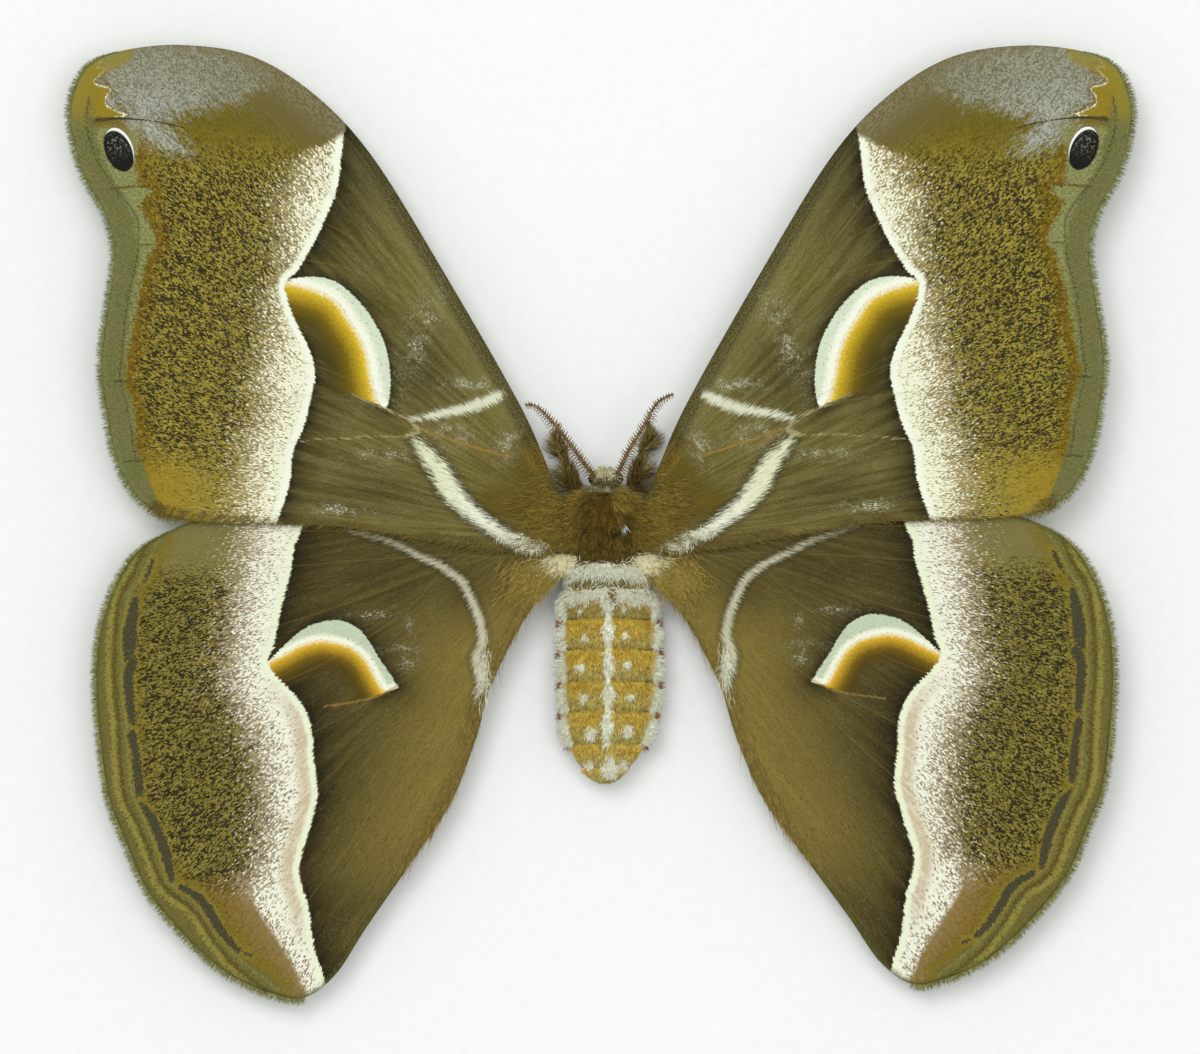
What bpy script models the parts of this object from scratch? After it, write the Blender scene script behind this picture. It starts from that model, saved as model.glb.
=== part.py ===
"""A spread silkmoth specimen at life size, resting on its underside.

Lengths below are millimetres; MM turns them into Blender's metres. +Z is up, +Y is towards the
head, and the origin is on the underside of the thorax, where a setting pin would come out. A wing,
leg or antenna is described on one side: u is the distance out from the midline, v the distance
forward, and side is -1 for the left (at -X) and +1 for the right.
"""

import math

import bmesh
import bpy
import numpy as np
from mathutils import Vector, geometry

MM = 0.001
GAP = 0.3
SIDES = {"left": -1, "right": 1}

# Wings
WING_THICKNESS = 0.5
ROOT_THICKENING = 0.45
ROOT_REACH = 7.0
WING_ROOT_HEIGHT = 5.7
WING_LIFT = 0.034
WING_SAG = 0.0006
FORE_CLEARANCE = 0.25
HIND_CLEARANCE = 0.3
RIM_STEP = 2.3
VEIN_STEP = 5.0
FILL_STEP = 5.6
VEIN_HALF_WIDTH = (0.6, 0.38)
VEIN_HEIGHT = (0.25, 0.16)
UNDER_VEIN_SHARE = 0.6
UNDER_VEIN_FADE = (2.0, 6.0)
# How each wing was set: turned towards the head in degrees, moved outwards, and stretched backwards.
WING_SET = {
    ("fore", "left"): (0.0, 0.0, 1.0),
    ("fore", "right"): (0.7, -0.35, 0.988),
    ("hind", "left"): (0.0, 0.0, 1.0),
    ("hind", "right"): (1.2, -0.35, 0.982),
}

# Outline of each wing from the front of its root, round the tip, to the back of its root.
FORE_OUTLINE = [
    (2.6, 1.9), (5.0, 3.4), (9.3, 12.9), (18.3, 28.6), (26.2, 41.3), (32.8, 48.3), (40.0, 52.6),
    (48.1, 53.8), (55.0, 53.0), (58.5, 51.3), (60.1, 48.2), (60.4, 44.5), (58.9, 39.0),
    (56.3, 34.2), (55.4, 30.2), (56.0, 25.0), (56.9, 18.3), (56.6, 13.8), (55.4, 7.6),
    (53.5, 3.3), (50.8, 0.8), (47.7, -0.2), (40.9, -0.7), (30.7, -0.9), (20.6, -2.4),
    (11.6, -3.8), (5.6, -3.9), (2.6, -3.0),
]  # fmt: skip
HIND_OUTLINE = [
    (2.6, -2.3), (5.2, -2.3), (13.8, -0.7), (24.0, 1.1), (35.2, 1.6), (43.7, 0.9), (49.3, -1.1),
    (53.1, -3.7), (55.5, -7.7), (57.0, -12.4), (57.5, -17.8), (57.1, -24.6), (56.1, -31.4),
    (54.2, -36.4), (51.8, -41.8), (47.5, -47.1), (42.6, -51.4), (37.5, -53.7), (33.8, -54.1),
    (30.2, -51.4), (26.8, -46.2), (21.7, -38.8), (17.2, -32.0), (14.3, -24.6), (13.1, -20.1),
    (11.3, -15.8), (8.2, -10.2), (5.0, -6.6), (2.6, -5.2),
]  # fmt: skip

# Main veins, each from the root or its fork out to the margin.
FORE_VEINS = {
    "costal": [(3.4, 1.0), (10.2, 12.2), (19.0, 27.6), (26.9, 40.1), (32.6, 46.7)],
    "radial": [(3.4, 0.4), (13.8, 13.2), (22.8, 26.2), (30.2, 36.3), (37.5, 45.3), (47.0, 51.8)],
    "apical": [(28.6, 34.2), (34.0, 39.4), (42.0, 43.1), (53.3, 45.4), (58.8, 44.5)],
    "medial_1": [(24.6, 28.8), (31.0, 33.2), (42.0, 36.9), (52.0, 38.0), (57.2, 37.5)],
    "medial_2": [(22.2, 25.3), (30.0, 28.6), (42.0, 30.1), (53.8, 31.0)],
    "medial_3": [(3.4, -0.4), (11.6, 5.4), (19.5, 10.2), (26.0, 14.6), (39.8, 20.0), (54.6, 24.4)],
    "cubital_1": [(21.2, 11.4), (28.6, 13.4), (39.8, 14.6), (55.5, 16.0)],
    "cubital_2": [(15.6, 8.0), (24.2, 9.4), (34.1, 8.9), (46.5, 7.2), (54.0, 6.8)],
    "anal": [(3.4, -1.8), (19.5, -0.4), (34.1, 0.9), (47.4, 1.2)],
}  # fmt: skip
HIND_VEINS = {
    "subcostal": [(3.4, -3.2), (12.0, -2.0), (22.8, -1.4), (39.8, -1.5), (50.4, -4.2)],
    "radial": [(11.8, -4.2), (18.4, -4.0), (30.7, -4.8), (45.4, -6.5), (54.6, -8.8)],
    "medial_1": [(3.4, -3.9), (12.0, -4.2), (19.5, -5.8), (29.6, -9.6), (42.0, -13.2), (56.0, -15.0)],
    "medial_2": [(18.2, -5.6), (23.0, -10.6), (33.0, -16.8), (45.4, -21.2), (56.0, -23.2)],
    "medial_3": [(3.4, -4.6), (12.6, -10.2), (19.2, -15.8), (33.0, -24.0), (45.4, -29.2),
                 (54.9, -31.4)],
    "cubital_1": [(17.8, -14.7), (23.6, -21.4), (33.0, -30.6), (42.6, -38.1), (50.4, -41.3)],
    "cubital_2": [(13.4, -11.0), (18.8, -20.6), (27.3, -34.4), (35.2, -44.9), (41.4, -49.8)],
    "anal": [(4.6, -5.9), (11.4, -13.6), (16.0, -24.6), (22.8, -38.1), (29.2, -47.9)],
}  # fmt: skip

# Body, as rings along Y. The underside is cut off flat at the floor.
BODY_SIDES = 20
THORAX = {"front": 4.0, "back": -4.4, "half_width": 4.6, "half_height": 4.7, "centre_z": 4.1}
THORAX_RINGS = 9
THORAX_BLUNTNESS = 2.6
ABDOMEN_MIDDLE = -16.2
ABDOMEN_FRONT_LENGTH = 16.3
ABDOMEN_BACK_LENGTH = 13.5
ABDOMEN_HALF_WIDTH = 5.6
ABDOMEN_FLATNESS = 0.82
ABDOMEN_CENTRE_Z = 4.05
ABDOMEN_BLUNTNESS = 2.4
ABDOMEN_START = -3.9
SEGMENT_ENDS = [-7.7, -11.0, -14.4, -18.0, -21.4, -25.1, -27.7, -29.6]
SEGMENT_GROOVE = 0.95
SEGMENT_SWELL = 0.3
ABDOMEN_LEAN = 0.6
HEAD = {"centre": (0.1, 4.4, 5.2), "half": (1.5, 1.55, 1.95)}
EYE_RADIUS = 0.74
EYE_CENTRE = (1.38, 4.65, 4.75)

# Coat, as flat tapered locks
LOCK_THICKNESS = 0.5
LOCK_SINK = 0.5
THORAX_LOCK_ROWS = 5
THORAX_LOCKS_ACROSS = 7
THORAX_LOCK_ARC_DEG = 54
THORAX_LOCK = {"length": 2.9, "width": 1.9, "rise": 0.3}
SHOULDER_TUFT = {"length": 4.2, "width": 1.8, "rise": 0.25}
SHOULDER_ANGLE_DEG = 47
COLLAR_LOCK = {"length": 1.4, "width": 1.5, "rise": 0.3}
SIDE_TUFT = {"length": 3.2, "width": 1.9, "rise": 0.4}
SIDE_TUFT_PLACES = [(0.0, 62), (0.4, 76), (0.1, 92)]
TIP_TUFT_SCALE = 0.65
BACK_TUFT = {"length": 2.5, "width": 1.7, "rise": 0.3}
BACK_TUFT_PLACES = [0.05, 0.55]
SPOT_TUFT = {"length": 1.9, "width": 1.4, "rise": 0.3}
SPOT_OFFSET_DEG = 27
CREST_LOCK = {"length": 1.5, "width": 1.1, "rise": 0.4}
LEG_LOCK = {"length": 2.0, "width": 1.0, "rise": 0.25}

# Antennae
ANTENNA_PATHS = {
    "left": [(1.0, 4.7, 6.2), (2.2, 6.2, 7.2), (3.5, 8.0, 7.6), (5.2, 10.2, 7.9), (6.7, 11.9, 8.1),
             (7.6, 12.7, 8.2), (8.4, 13.0, 8.2), (9.0, 12.95, 8.2)],
    "right": [(1.2, 4.7, 6.2), (1.9, 6.2, 7.2), (2.7, 7.9, 7.6), (4.1, 10.1, 7.9), (5.1, 12.0, 8.1),
              (5.9, 13.2, 8.2), (6.7, 13.75, 8.3), (7.7, 14.2, 8.4)],
}  # fmt: skip
ANTENNA_RADIUS = (0.3, 0.16)
ANTENNA_RAYS = 16
RAY_LENGTH = 1.15
RAY_THICKNESS = 0.5
RAY_LEAN = 0.35
RAY_TILT_DEG = 28

# Legs: points (u, v, z) and the radius there, coat included
LEG_PATHS = {
    "leg_fore": {
        "left": [(1.6, 2.4, 2.2), (3.2, 3.4, 2.6), (4.2, 5.6, 2.3), (4.9, 7.9, 1.7), (5.5, 9.6, 1.1),
                 (5.3, 10.7, 0.7)],
        "right": [(1.6, 2.4, 2.2), (3.0, 3.4, 2.6), (3.7, 5.6, 2.3), (4.4, 7.8, 1.7), (5.0, 9.6, 1.1),
                  (4.9, 11.2, 0.7)],
    },
    "leg_middle": {
        "both": [(1.6, 0.6, 1.3), (4.6, 1.6, 2.3), (6.4, 2.0, 2.4), (7.3, -0.6, 1.5),
                 (7.9, -2.8, 0.7), (8.6, -5.6, 0.3)],
    },
    "leg_hind": {
        "both": [(1.6, -2.2, 1.3), (4.6, -2.9, 2.3), (6.6, -3.4, 2.4), (7.1, -5.4, 1.4),
                 (7.8, -7.2, 0.7), (9.6, -10.0, 0.3)],
    },
}  # fmt: skip
LEG_RADII = {
    "leg_fore": [0.7, 0.9, 0.95, 0.75, 0.45, 0.35],
    "leg_middle": [0.7, 0.85, 0.8, 0.6, 0.45, 0.3],
    "leg_hind": [0.7, 0.85, 0.8, 0.6, 0.45, 0.3],
}
LEG_SIDES = 6
PALP_PATH = [(0.45, 5.1, 4.0), (0.6, 5.8, 3.2), (0.6, 5.9, 2.3), (0.5, 5.7, 1.6)]
PALP_RADII = [0.4, 0.42, 0.36, 0.26]

COLOURS = {
    "wing": (0.20, 0.15, 0.05),
    "coat": (0.17, 0.11, 0.04),
    "abdomen": (0.42, 0.25, 0.07),
    "eye": (0.02, 0.015, 0.012),
    "antenna": (0.16, 0.08, 0.03),
    "leg": (0.13, 0.09, 0.04),
}
SEED = 7


def clear_scene():
    for item in list(bpy.data.objects):
        bpy.data.objects.remove(item, do_unlink=True)


def material(name, roughness=0.75):
    found = bpy.data.materials.get(name)
    if found:
        return found
    made = bpy.data.materials.new(name)
    made.use_nodes = True
    shader = made.node_tree.nodes["Principled BSDF"]
    shader.inputs["Base Color"].default_value = (*COLOURS[name], 1.0)
    shader.inputs["Roughness"].default_value = roughness
    shader.inputs["Metallic"].default_value = 0.0
    return made


def solid(name, points, faces, finish):
    """An object from points in millimetres, with its faces turned outwards."""
    mesh = bpy.data.meshes.new(name)
    mesh.from_pydata([tuple(float(c) * MM for c in p) for p in points], [], faces)
    shape = bmesh.new()
    shape.from_mesh(mesh)
    bmesh.ops.recalc_face_normals(shape, faces=shape.faces)
    bmesh.ops.triangulate(shape, faces=shape.faces)
    shape.to_mesh(mesh)
    shape.free()
    made = bpy.data.objects.new(name, mesh)
    bpy.context.scene.collection.objects.link(made)
    made.data.materials.append(material(finish))
    return made


def smooth_line(points, step, closed=False):
    """Points about step apart on a Catmull-Rom curve through the given ones."""
    ring = [np.array(p, float) for p in points]
    count = len(ring)
    spans = range(count if closed else count - 1)
    out = []
    for i in spans:
        if closed:
            before, start, end, after = (ring[(i + k) % count] for k in (-1, 0, 1, 2))
        else:
            start, end = ring[i], ring[i + 1]
            before = ring[i - 1] if i else 2 * start - end
            after = ring[i + 2] if i + 2 < count else 2 * end - start
        cuts = max(1, round(float(np.linalg.norm(end - start)) / step))
        for cut in range(cuts):
            t = cut / cuts
            out.append(
                0.5
                * (
                    2 * start
                    + (end - before) * t
                    + (2 * before - 5 * start + 4 * end - after) * t**2
                    + (3 * start - before - 3 * end + after) * t**3
                )
            )
    if not closed:
        out.append(ring[-1])
    return out


def line_distances(point, line):
    """Distance from a point to a line, and how far along the line the nearest place is, 0 to 1."""
    line = np.array(line)
    starts, runs = line[:-1], np.diff(line, axis=0)
    share = np.clip(((point - starts) * runs).sum(1) / (runs**2).sum(1), 0, 1)
    gaps = np.linalg.norm(starts + runs * share[:, None] - point, axis=1)
    nearest = int(gaps.argmin())
    return float(gaps[nearest]), (nearest + share[nearest]) / len(runs)


def inside(point, loop):
    """Whether a point is inside a closed loop, by counting the edges that a ray crosses."""
    loop = np.array(loop)
    ahead = np.roll(loop, -1, axis=0)
    spans = (loop[:, 1] > point[1]) != (ahead[:, 1] > point[1])
    rise = np.where(ahead[:, 1] == loop[:, 1], 1.0, ahead[:, 1] - loop[:, 1])
    cross = loop[:, 0] + (point[1] - loop[:, 1]) * (ahead[:, 0] - loop[:, 0]) / rise
    return bool((spans & (point[0] < cross)).sum() % 2)


def between(pair, share):
    return pair[0] + (pair[1] - pair[0]) * share


def grown_loop(loop, grow):
    """A closed loop moved outwards by grow."""
    loop = np.array(loop)
    run = np.roll(loop, -1, axis=0) - np.roll(loop, 1, axis=0)
    out = np.stack([-run[:, 1], run[:, 0]], axis=1) / np.linalg.norm(run, axis=1)[:, None]
    ahead = np.roll(loop, -1, axis=0)
    turn = (loop[:, 0] * ahead[:, 1] - ahead[:, 0] * loop[:, 1]).sum()
    return list(loop + out * (grow if turn < 0 else -grow))


def sheet_height(u, v):
    """Height of the surface that parts the two wings of a side."""
    return WING_ROOT_HEIGHT + WING_LIFT * u - WING_SAG * v**2


def set_place(spot, kind, side_name):
    """Where a point of a wing's plan comes to lie once that wing is set."""
    turn_deg, outwards, stretch = WING_SET[kind, side_name]
    turn = math.radians(turn_deg)
    pivot = np.array(HIND_OUTLINE[1] if kind == "hind" else FORE_OUTLINE[0])
    along, across = (spot - pivot) * (1.0, stretch)
    u = pivot[0] + along * math.cos(turn) - across * math.sin(turn) + outwards
    return u, pivot[1] + along * math.sin(turn) + across * math.cos(turn)


def vein_ridge(point, veins):
    """How high the veins stand on the membrane at a point."""
    highest = 0.0
    for line in veins:
        distance, along = line_distances(point, line)
        width = between(VEIN_HALF_WIDTH, along)
        highest = max(highest, between(VEIN_HEIGHT, along) * (1 - distance / width))
    return highest


def wing_plan(outline, veins, grow):
    """The wing seen from above: its triangles, with edges along each vein's ridge and foot."""
    rim = grown_loop(smooth_line(outline, RIM_STEP, closed=True), grow)
    points = list(rim)
    edges = [(i, (i + 1) % len(rim)) for i in range(len(rim))]
    lines = [smooth_line(line, VEIN_STEP) for line in veins.values()]
    for line in lines:
        run = np.gradient(np.array(line), axis=0)
        across = np.stack([-run[:, 1], run[:, 0]], axis=1)
        across /= np.linalg.norm(across, axis=1)[:, None]
        shares = np.linspace(0, 1, len(line))
        widths = np.array([between(VEIN_HALF_WIDTH, s) for s in shares])[:, None]
        for step in (-1, 0, 1):
            first = len(points)
            points += list(np.array(line) + across * widths * step)
            edges += [(first + i, first + i + 1) for i in range(len(line) - 1)]
    low, high = np.min(rim, axis=0), np.max(rim, axis=0)
    row_step = FILL_STEP * math.sqrt(3) / 2
    for row in range(int((high[1] - low[1]) / row_step) + 1):
        for place in range(int((high[0] - low[0]) / FILL_STEP) + 2):
            spot = low + np.array([(place + row % 2 / 2) * FILL_STEP, row * row_step])
            clear = line_distances(spot, [*rim, rim[0]])[0] > FILL_STEP / 2.4
            clear = clear and all(line_distances(spot, n)[0] > FILL_STEP / 2.8 for n in lines)
            if clear and inside(spot, rim):
                points.append(spot)
    found = geometry.delaunay_2d_cdt(
        [Vector(p) for p in points], edges, [list(range(len(rim)))], 1, 1e-3
    )
    flat = [np.array(p) for p in found[0]]
    triangles = [t for t in found[2] if inside(sum(flat[i] for i in t) / 3, rim)]
    return flat, triangles, lines


def wing(name, kind, side_name, grow=0.0):
    """One wing: a membrane with its veins raised in both faces. The fore wing lies over the hind one."""
    outline, veins = (FORE_OUTLINE, FORE_VEINS) if kind == "fore" else (HIND_OUTLINE, HIND_VEINS)
    flat, triangles, lines = wing_plan(outline, veins, grow)
    side = SIDES[side_name]
    upper, lower = [], []
    for spot in flat:
        ridge = vein_ridge(spot, lines)
        thick = WING_THICKNESS + ROOT_THICKENING * math.exp(-((spot[0] / ROOT_REACH) ** 2))
        u, v = set_place(spot, kind, side_name)
        middle = sheet_height(u, v)
        if kind == "fore":
            fade = (v - UNDER_VEIN_FADE[0]) / (UNDER_VEIN_FADE[1] - UNDER_VEIN_FADE[0])
            under = ridge * UNDER_VEIN_SHARE * min(1.0, max(0.0, fade))
            bottom = middle + FORE_CLEARANCE
            top = bottom + thick + ridge
            bottom -= under
        else:
            top = middle - HIND_CLEARANCE
            bottom = top - thick - ridge * UNDER_VEIN_SHARE
            top += ridge
        upper.append((side * u, v, top + grow))
        lower.append((side * u, v, bottom - grow))
    count = len(flat)
    faces = [list(t) for t in triangles] + [[i + count for i in reversed(t)] for t in triangles]
    walls = {}
    for t in triangles:
        for a, b in zip(t, [*t[1:], t[0]]):
            walls[frozenset((a, b))] = (a, b) if frozenset((a, b)) not in walls else None
    for edge in filter(None, walls.values()):
        a, b = edge
        faces += [[b, a, a + count], [b, a + count, b + count]]
    used = sorted({i for f in faces for i in f})
    place = {old: new for new, old in enumerate(used)}
    points = [(upper + lower)[i] for i in used]
    return solid(name, points, [[place[i] for i in f] for f in faces], "wing")


def barrel(name, rings, finish, sides=BODY_SIDES):
    """A closed body from rings of (x, y, centre z, half width, half height), flat at the floor."""
    points, faces = [], []
    for x, y, middle, wide, high in rings:
        for k in range(sides):
            angle = 2 * math.pi * (k + 0.5) / sides
            z = max(0.0, middle + high * math.cos(angle))
            points.append((x + wide * math.sin(angle), y, z))
    for ring in range(len(rings) - 1):
        for k in range(sides):
            a, b = ring * sides + k, ring * sides + (k + 1) % sides
            faces.append([a, b, b + sides, a + sides])
    faces += [list(range(sides)), list(range((len(rings) - 1) * sides, len(rings) * sides))]
    return solid(name, points, faces, finish)


def roundness(share, bluntness):
    return max(0.0, 1 - abs(share) ** bluntness) ** (1 / 2)


def thorax_ring(share, grow=0.0):
    """The thorax's ring at a share from -1, its front, to 1, its back."""
    middle = (THORAX["front"] + THORAX["back"]) / 2
    length = (THORAX["front"] - THORAX["back"]) / 2 + grow
    size = max(0.12, roundness(share, THORAX_BLUNTNESS))
    wide, high = THORAX["half_width"] * size + grow, THORAX["half_height"] * size + grow
    return 0.0, middle - length * share, THORAX["centre_z"], wide, high


def thorax_core(name, grow=0.0):
    shares = np.sin(np.linspace(-1, 1, THORAX_RINGS) * math.pi / 2)
    return barrel(name, [thorax_ring(s, grow) for s in shares], "coat")


def abdomen_ring(y, grow=0.0, groove=1.0):
    """The abdomen's ring at a place along it. It leans a little to the right, as it dried."""
    back = y < ABDOMEN_MIDDLE
    length = ABDOMEN_BACK_LENGTH if back else ABDOMEN_FRONT_LENGTH
    size = max(0.1, roundness((y - ABDOMEN_MIDDLE) / length, ABDOMEN_BLUNTNESS)) * groove
    wide = ABDOMEN_HALF_WIDTH * size + grow
    high = ABDOMEN_HALF_WIDTH * ABDOMEN_FLATNESS * size + grow
    share = (y - ABDOMEN_START) / (ABDOMEN_MIDDLE - ABDOMEN_START)
    return ABDOMEN_LEAN * math.sin(min(share, 2.0) * math.pi / 2), y, ABDOMEN_CENTRE_Z, wide, high


def abdomen_core(name, grow=0.0):
    """The abdomen: each segment swells just behind its fold, then narrows to the next one."""
    rings = [abdomen_ring(ABDOMEN_START + grow, grow)]
    start = ABDOMEN_START
    for end in SEGMENT_ENDS:
        rings.append(abdomen_ring(start + (end - start) * SEGMENT_SWELL, grow))
        rings.append(abdomen_ring(end - (grow if end == SEGMENT_ENDS[-1] else 0), grow, SEGMENT_GROOVE))
        start = end
    return barrel(name, rings, "abdomen")


def ring_place(ring, angle_deg):
    """The place on a body's ring that is angle_deg round from its top."""
    x, y, middle, wide, high = ring
    angle = math.radians(angle_deg)
    return np.array([x + wide * math.sin(angle), y, middle + high * math.cos(angle)])


def surface_point(ring_at, along, angle_deg):
    """A place on a body, and the way straight out of it there."""
    spot = ring_place(ring_at(along), angle_deg)
    on = ring_place(ring_at(along - 0.01), angle_deg) - spot
    out = np.cross(on, ring_place(ring_at(along), angle_deg + 1) - spot)
    out /= np.linalg.norm(out)
    inward = np.array([0.0, spot[1], ring_at(along)[2]]) - spot
    return spot, out if out @ inward < 0 else -out


def blade(root, lie, out, size, grow=0.0, thick=LOCK_THICKNESS, steps=3):
    """Points and faces of a flat tapered lock that leaves its sunken root and bends along its lie."""
    lie = np.array(lie, float)
    lie -= out * (lie @ out)
    lie /= np.linalg.norm(lie)
    across = np.cross(lie, out)
    points = []
    for step in range(steps + 1):
        t = step / steps
        height = size["rise"] * math.sin(t * math.pi * 0.75) - LOCK_SINK * (1 - t) ** 2
        middle = root + lie * (size["length"] * t - grow * (1 - 2 * t)) + out * height
        if step == steps:
            points.append(middle)
            break
        half = size["width"] / 2 * (1 - t**1.8) * (0.75 + 0.25 * math.sin(t * math.pi)) + grow
        deep = thick / 2 * (1 - 0.3 * t) + grow
        points += [middle + across * half, middle + out * deep]
        points += [middle - across * half, middle - out * deep]
    faces = [[0, 1, 2, 3]]
    for step in range(steps - 1):
        for k in range(4):
            a, b = step * 4 + k, step * 4 + (k + 1) % 4
            faces.append([a, b, b + 4, a + 4])
    tip, last = len(points) - 1, (steps - 1) * 4
    faces += [[last + k, last + (k + 1) % 4, tip] for k in range(4)]
    return points, faces


def spine(root, lie, length, upward):
    """Points and faces of a straight tapering ray."""
    lie = lie / np.linalg.norm(lie)
    across = np.cross(lie, upward)
    corners = [across, upward, -across, -upward]
    points = [root + way * RAY_THICKNESS / 2 for way in corners] + [root + lie * length]
    return points, [[0, 1, 2, 3]] + [[k, (k + 1) % 4, 4] for k in range(4)]


def varied(size, draw):
    """A lock's size, a little longer or shorter and wider or narrower than its kind."""
    return {key: value * draw.uniform(0.88, 1.12) for key, value in size.items()}


def thorax_locks(grow=0.0):
    """The coat of the thorax: rows that lie backwards, a collar, and long tufts over the wing roots."""
    draw = np.random.default_rng(SEED)
    locks = []
    for row in range(THORAX_LOCK_ROWS):
        share = -0.6 + 1.4 * row / (THORAX_LOCK_ROWS - 1)
        count = THORAX_LOCKS_ACROSS - row % 2
        for angle in np.linspace(-THORAX_LOCK_ARC_DEG, THORAX_LOCK_ARC_DEG, count):
            root, out = surface_point(thorax_ring, share, angle + draw.uniform(-3, 3))
            lie = np.array([math.sin(math.radians(angle)) * 0.45, -1.0, 0.0])
            locks.append(blade(root, lie, out, varied(THORAX_LOCK, draw), grow))
    for angle in np.linspace(-66, 66, 6):
        root, out = surface_point(thorax_ring, -0.92, angle)
        lie = np.array([math.sin(math.radians(angle)) * 0.3, 1.0, 0.9])
        locks.append(blade(root, lie, out, varied(COLLAR_LOCK, draw), grow))
    for side in SIDES.values():
        for number, share in enumerate(np.linspace(-0.6, 0.7, 5)):
            root = ring_place(thorax_ring(share), side * SHOULDER_ANGLE_DEG)
            lie = np.array([side * (0.9 + 0.3 * number), -1.0, 0.0])
            upward = np.array([0.0, 0.0, 1.0])
            root -= lie / np.linalg.norm(lie) * LOCK_SINK
            locks.append(blade(root, lie, upward, varied(SHOULDER_TUFT, draw), grow))
    return locks


def abdomen_locks(grow=0.0):
    """The abdomen's tufts: a row down the back, a spot each side of it, and a fringe along each side."""
    draw = np.random.default_rng(SEED + 1)
    locks = []
    start = ABDOMEN_START - 1.2
    for number, end in enumerate(SEGMENT_ENDS[:-1]):
        last = number == len(SEGMENT_ENDS) - 2
        run = end - start
        near_tip = number / (len(SEGMENT_ENDS) - 2)
        side_size = {key: value * between((1, TIP_TUFT_SCALE), near_tip**2) for key, value in SIDE_TUFT.items()}
        for share in BACK_TUFT_PLACES:
            root, out = surface_point(abdomen_ring, start + run * share, draw.uniform(-4, 4))
            locks.append(blade(root, (0, -1, 0), out, varied(BACK_TUFT, draw), grow, steps=2))
        for side in SIDES.values():
            spread = SPOT_OFFSET_DEG * (1.3 if last else 1.0)
            root, out = surface_point(abdomen_ring, start + run * 0.25, side * spread)
            lie = (0.15 * side, -1, 0)
            locks.append(blade(root, lie, out, varied(SPOT_TUFT, draw), grow, steps=2))
            for share, angle in SIDE_TUFT_PLACES:
                root, out = surface_point(abdomen_ring, start + run * share, side * angle)
                lie = np.array([0.2 * side, -1.0, -0.1])
                locks.append(blade(root, lie, out, varied(side_size, draw), grow))
        start = end
    return locks


def head_locks():
    """The short crest between the antennae and over the brow."""
    draw = np.random.default_rng(SEED + 2)
    centre, half = np.array(HEAD["centre"]), np.array(HEAD["half"])
    locks = []
    for forward, spread in ((0.9, (-0.5, 0.0, 0.5)), (0.3, (-0.3, 0.3)), (-0.25, (-0.5, 0.0, 0.5))):
        for across in spread:
            way = np.array([across, forward, 0.8])
            way /= np.linalg.norm(way)
            out = way / half
            out /= np.linalg.norm(out)
            lie = (across * 0.6, 1.0, -0.5) if forward > 0 else (across * 0.4, -1.0, 0.0)
            locks.append(blade(centre + way * half, lie, out, varied(CREST_LOCK, draw)))
    return locks


def leg_locks(path, radii, number):
    """The bushy coat of a fore leg, in locks that lie towards its foot."""
    draw = np.random.default_rng(SEED + number)
    locks = []
    for step, share in enumerate(np.linspace(0.2, 0.62, 8)):
        place = share * (len(path) - 1)
        at = int(place)
        spot = path[at] + (path[at + 1] - path[at]) * (place - at)
        run = path[at + 1] - path[at]
        run = run / np.linalg.norm(run)
        across = np.cross(run, (0.0, 0.0, 1.0))
        across /= np.linalg.norm(across)
        angle = math.radians(20 + 140 * (step % 3) / 2 + draw.uniform(-12, 12))
        out = across * math.cos(angle) + np.cross(across, run) * math.sin(angle)
        radius = np.interp(place, range(len(path)), radii)
        locks.append(blade(spot + out * radius, run, out, varied(LEG_LOCK, draw)))
    return locks


def ball(name, centre, half, finish, sides=14, rows=8):
    """A closed rounded body with the given half sizes."""
    rings = []
    for row in range(rows + 1):
        angle = math.pi * (row + 0.35 * (row == 0) - 0.35 * (row == rows)) / rows
        size = math.sin(angle)
        rings.append(
            (centre[0], centre[1] + half[1] * math.cos(angle), centre[2], half[0] * size, half[2] * size)
        )
    return barrel(name, rings, finish, sides)


def tube(name, path, radii, finish, sides=LEG_SIDES, grow=0.0):
    """A closed tapering tube along a path, flat where it meets the floor."""
    path = np.array(path, float)
    runs = np.gradient(path, axis=0)
    runs /= np.linalg.norm(runs, axis=1)[:, None]
    points, faces = [], []
    across = np.cross(runs[0], (0.0, 0.0, 1.0))
    for spot, run, radius in zip(path, runs, radii):
        across = across - run * (across @ run)
        across /= np.linalg.norm(across)
        upward = np.cross(across, run)
        for k in range(sides):
            angle = 2 * math.pi * (k + 0.5) / sides
            corner = spot + (radius + grow) * (across * math.cos(angle) + upward * math.sin(angle))
            corner[2] = max(0.0, corner[2])
            points.append(corner)
    for ring in range(len(path) - 1):
        for k in range(sides):
            a, b = ring * sides + k, ring * sides + (k + 1) % sides
            faces.append([a, b, b + sides, a + sides])
    faces += [list(range(sides)), list(range((len(path) - 1) * sides, len(path) * sides))]
    return solid(name, points, faces, finish)


def baked(item):
    """The object with its modifiers applied."""
    graph = bpy.context.evaluated_depsgraph_get()
    mesh = bpy.data.meshes.new_from_object(item.evaluated_get(graph))
    item.modifiers.clear()
    item.data = mesh
    return item


def keep_largest(item):
    """Keeps the largest closed surface, without the scraps and sealed hollows that a Boolean leaves."""
    shape = bmesh.new()
    shape.from_mesh(item.data)
    left, groups = set(shape.faces), []
    while left:
        group, queue = [], [left.pop()]
        while queue:
            face = queue.pop()
            group.append(face)
            for edge in face.edges:
                near = left.intersection(edge.link_faces)
                left -= near
                queue += near
        groups.append(group)
    groups.sort(key=len)
    scraps = [face for group in groups[:-1] for face in group]
    bmesh.ops.delete(shape, geom=scraps, context="FACES")
    bmesh.ops.triangulate(shape, faces=shape.faces)
    shape.to_mesh(item.data)
    shape.free()
    return item


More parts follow.
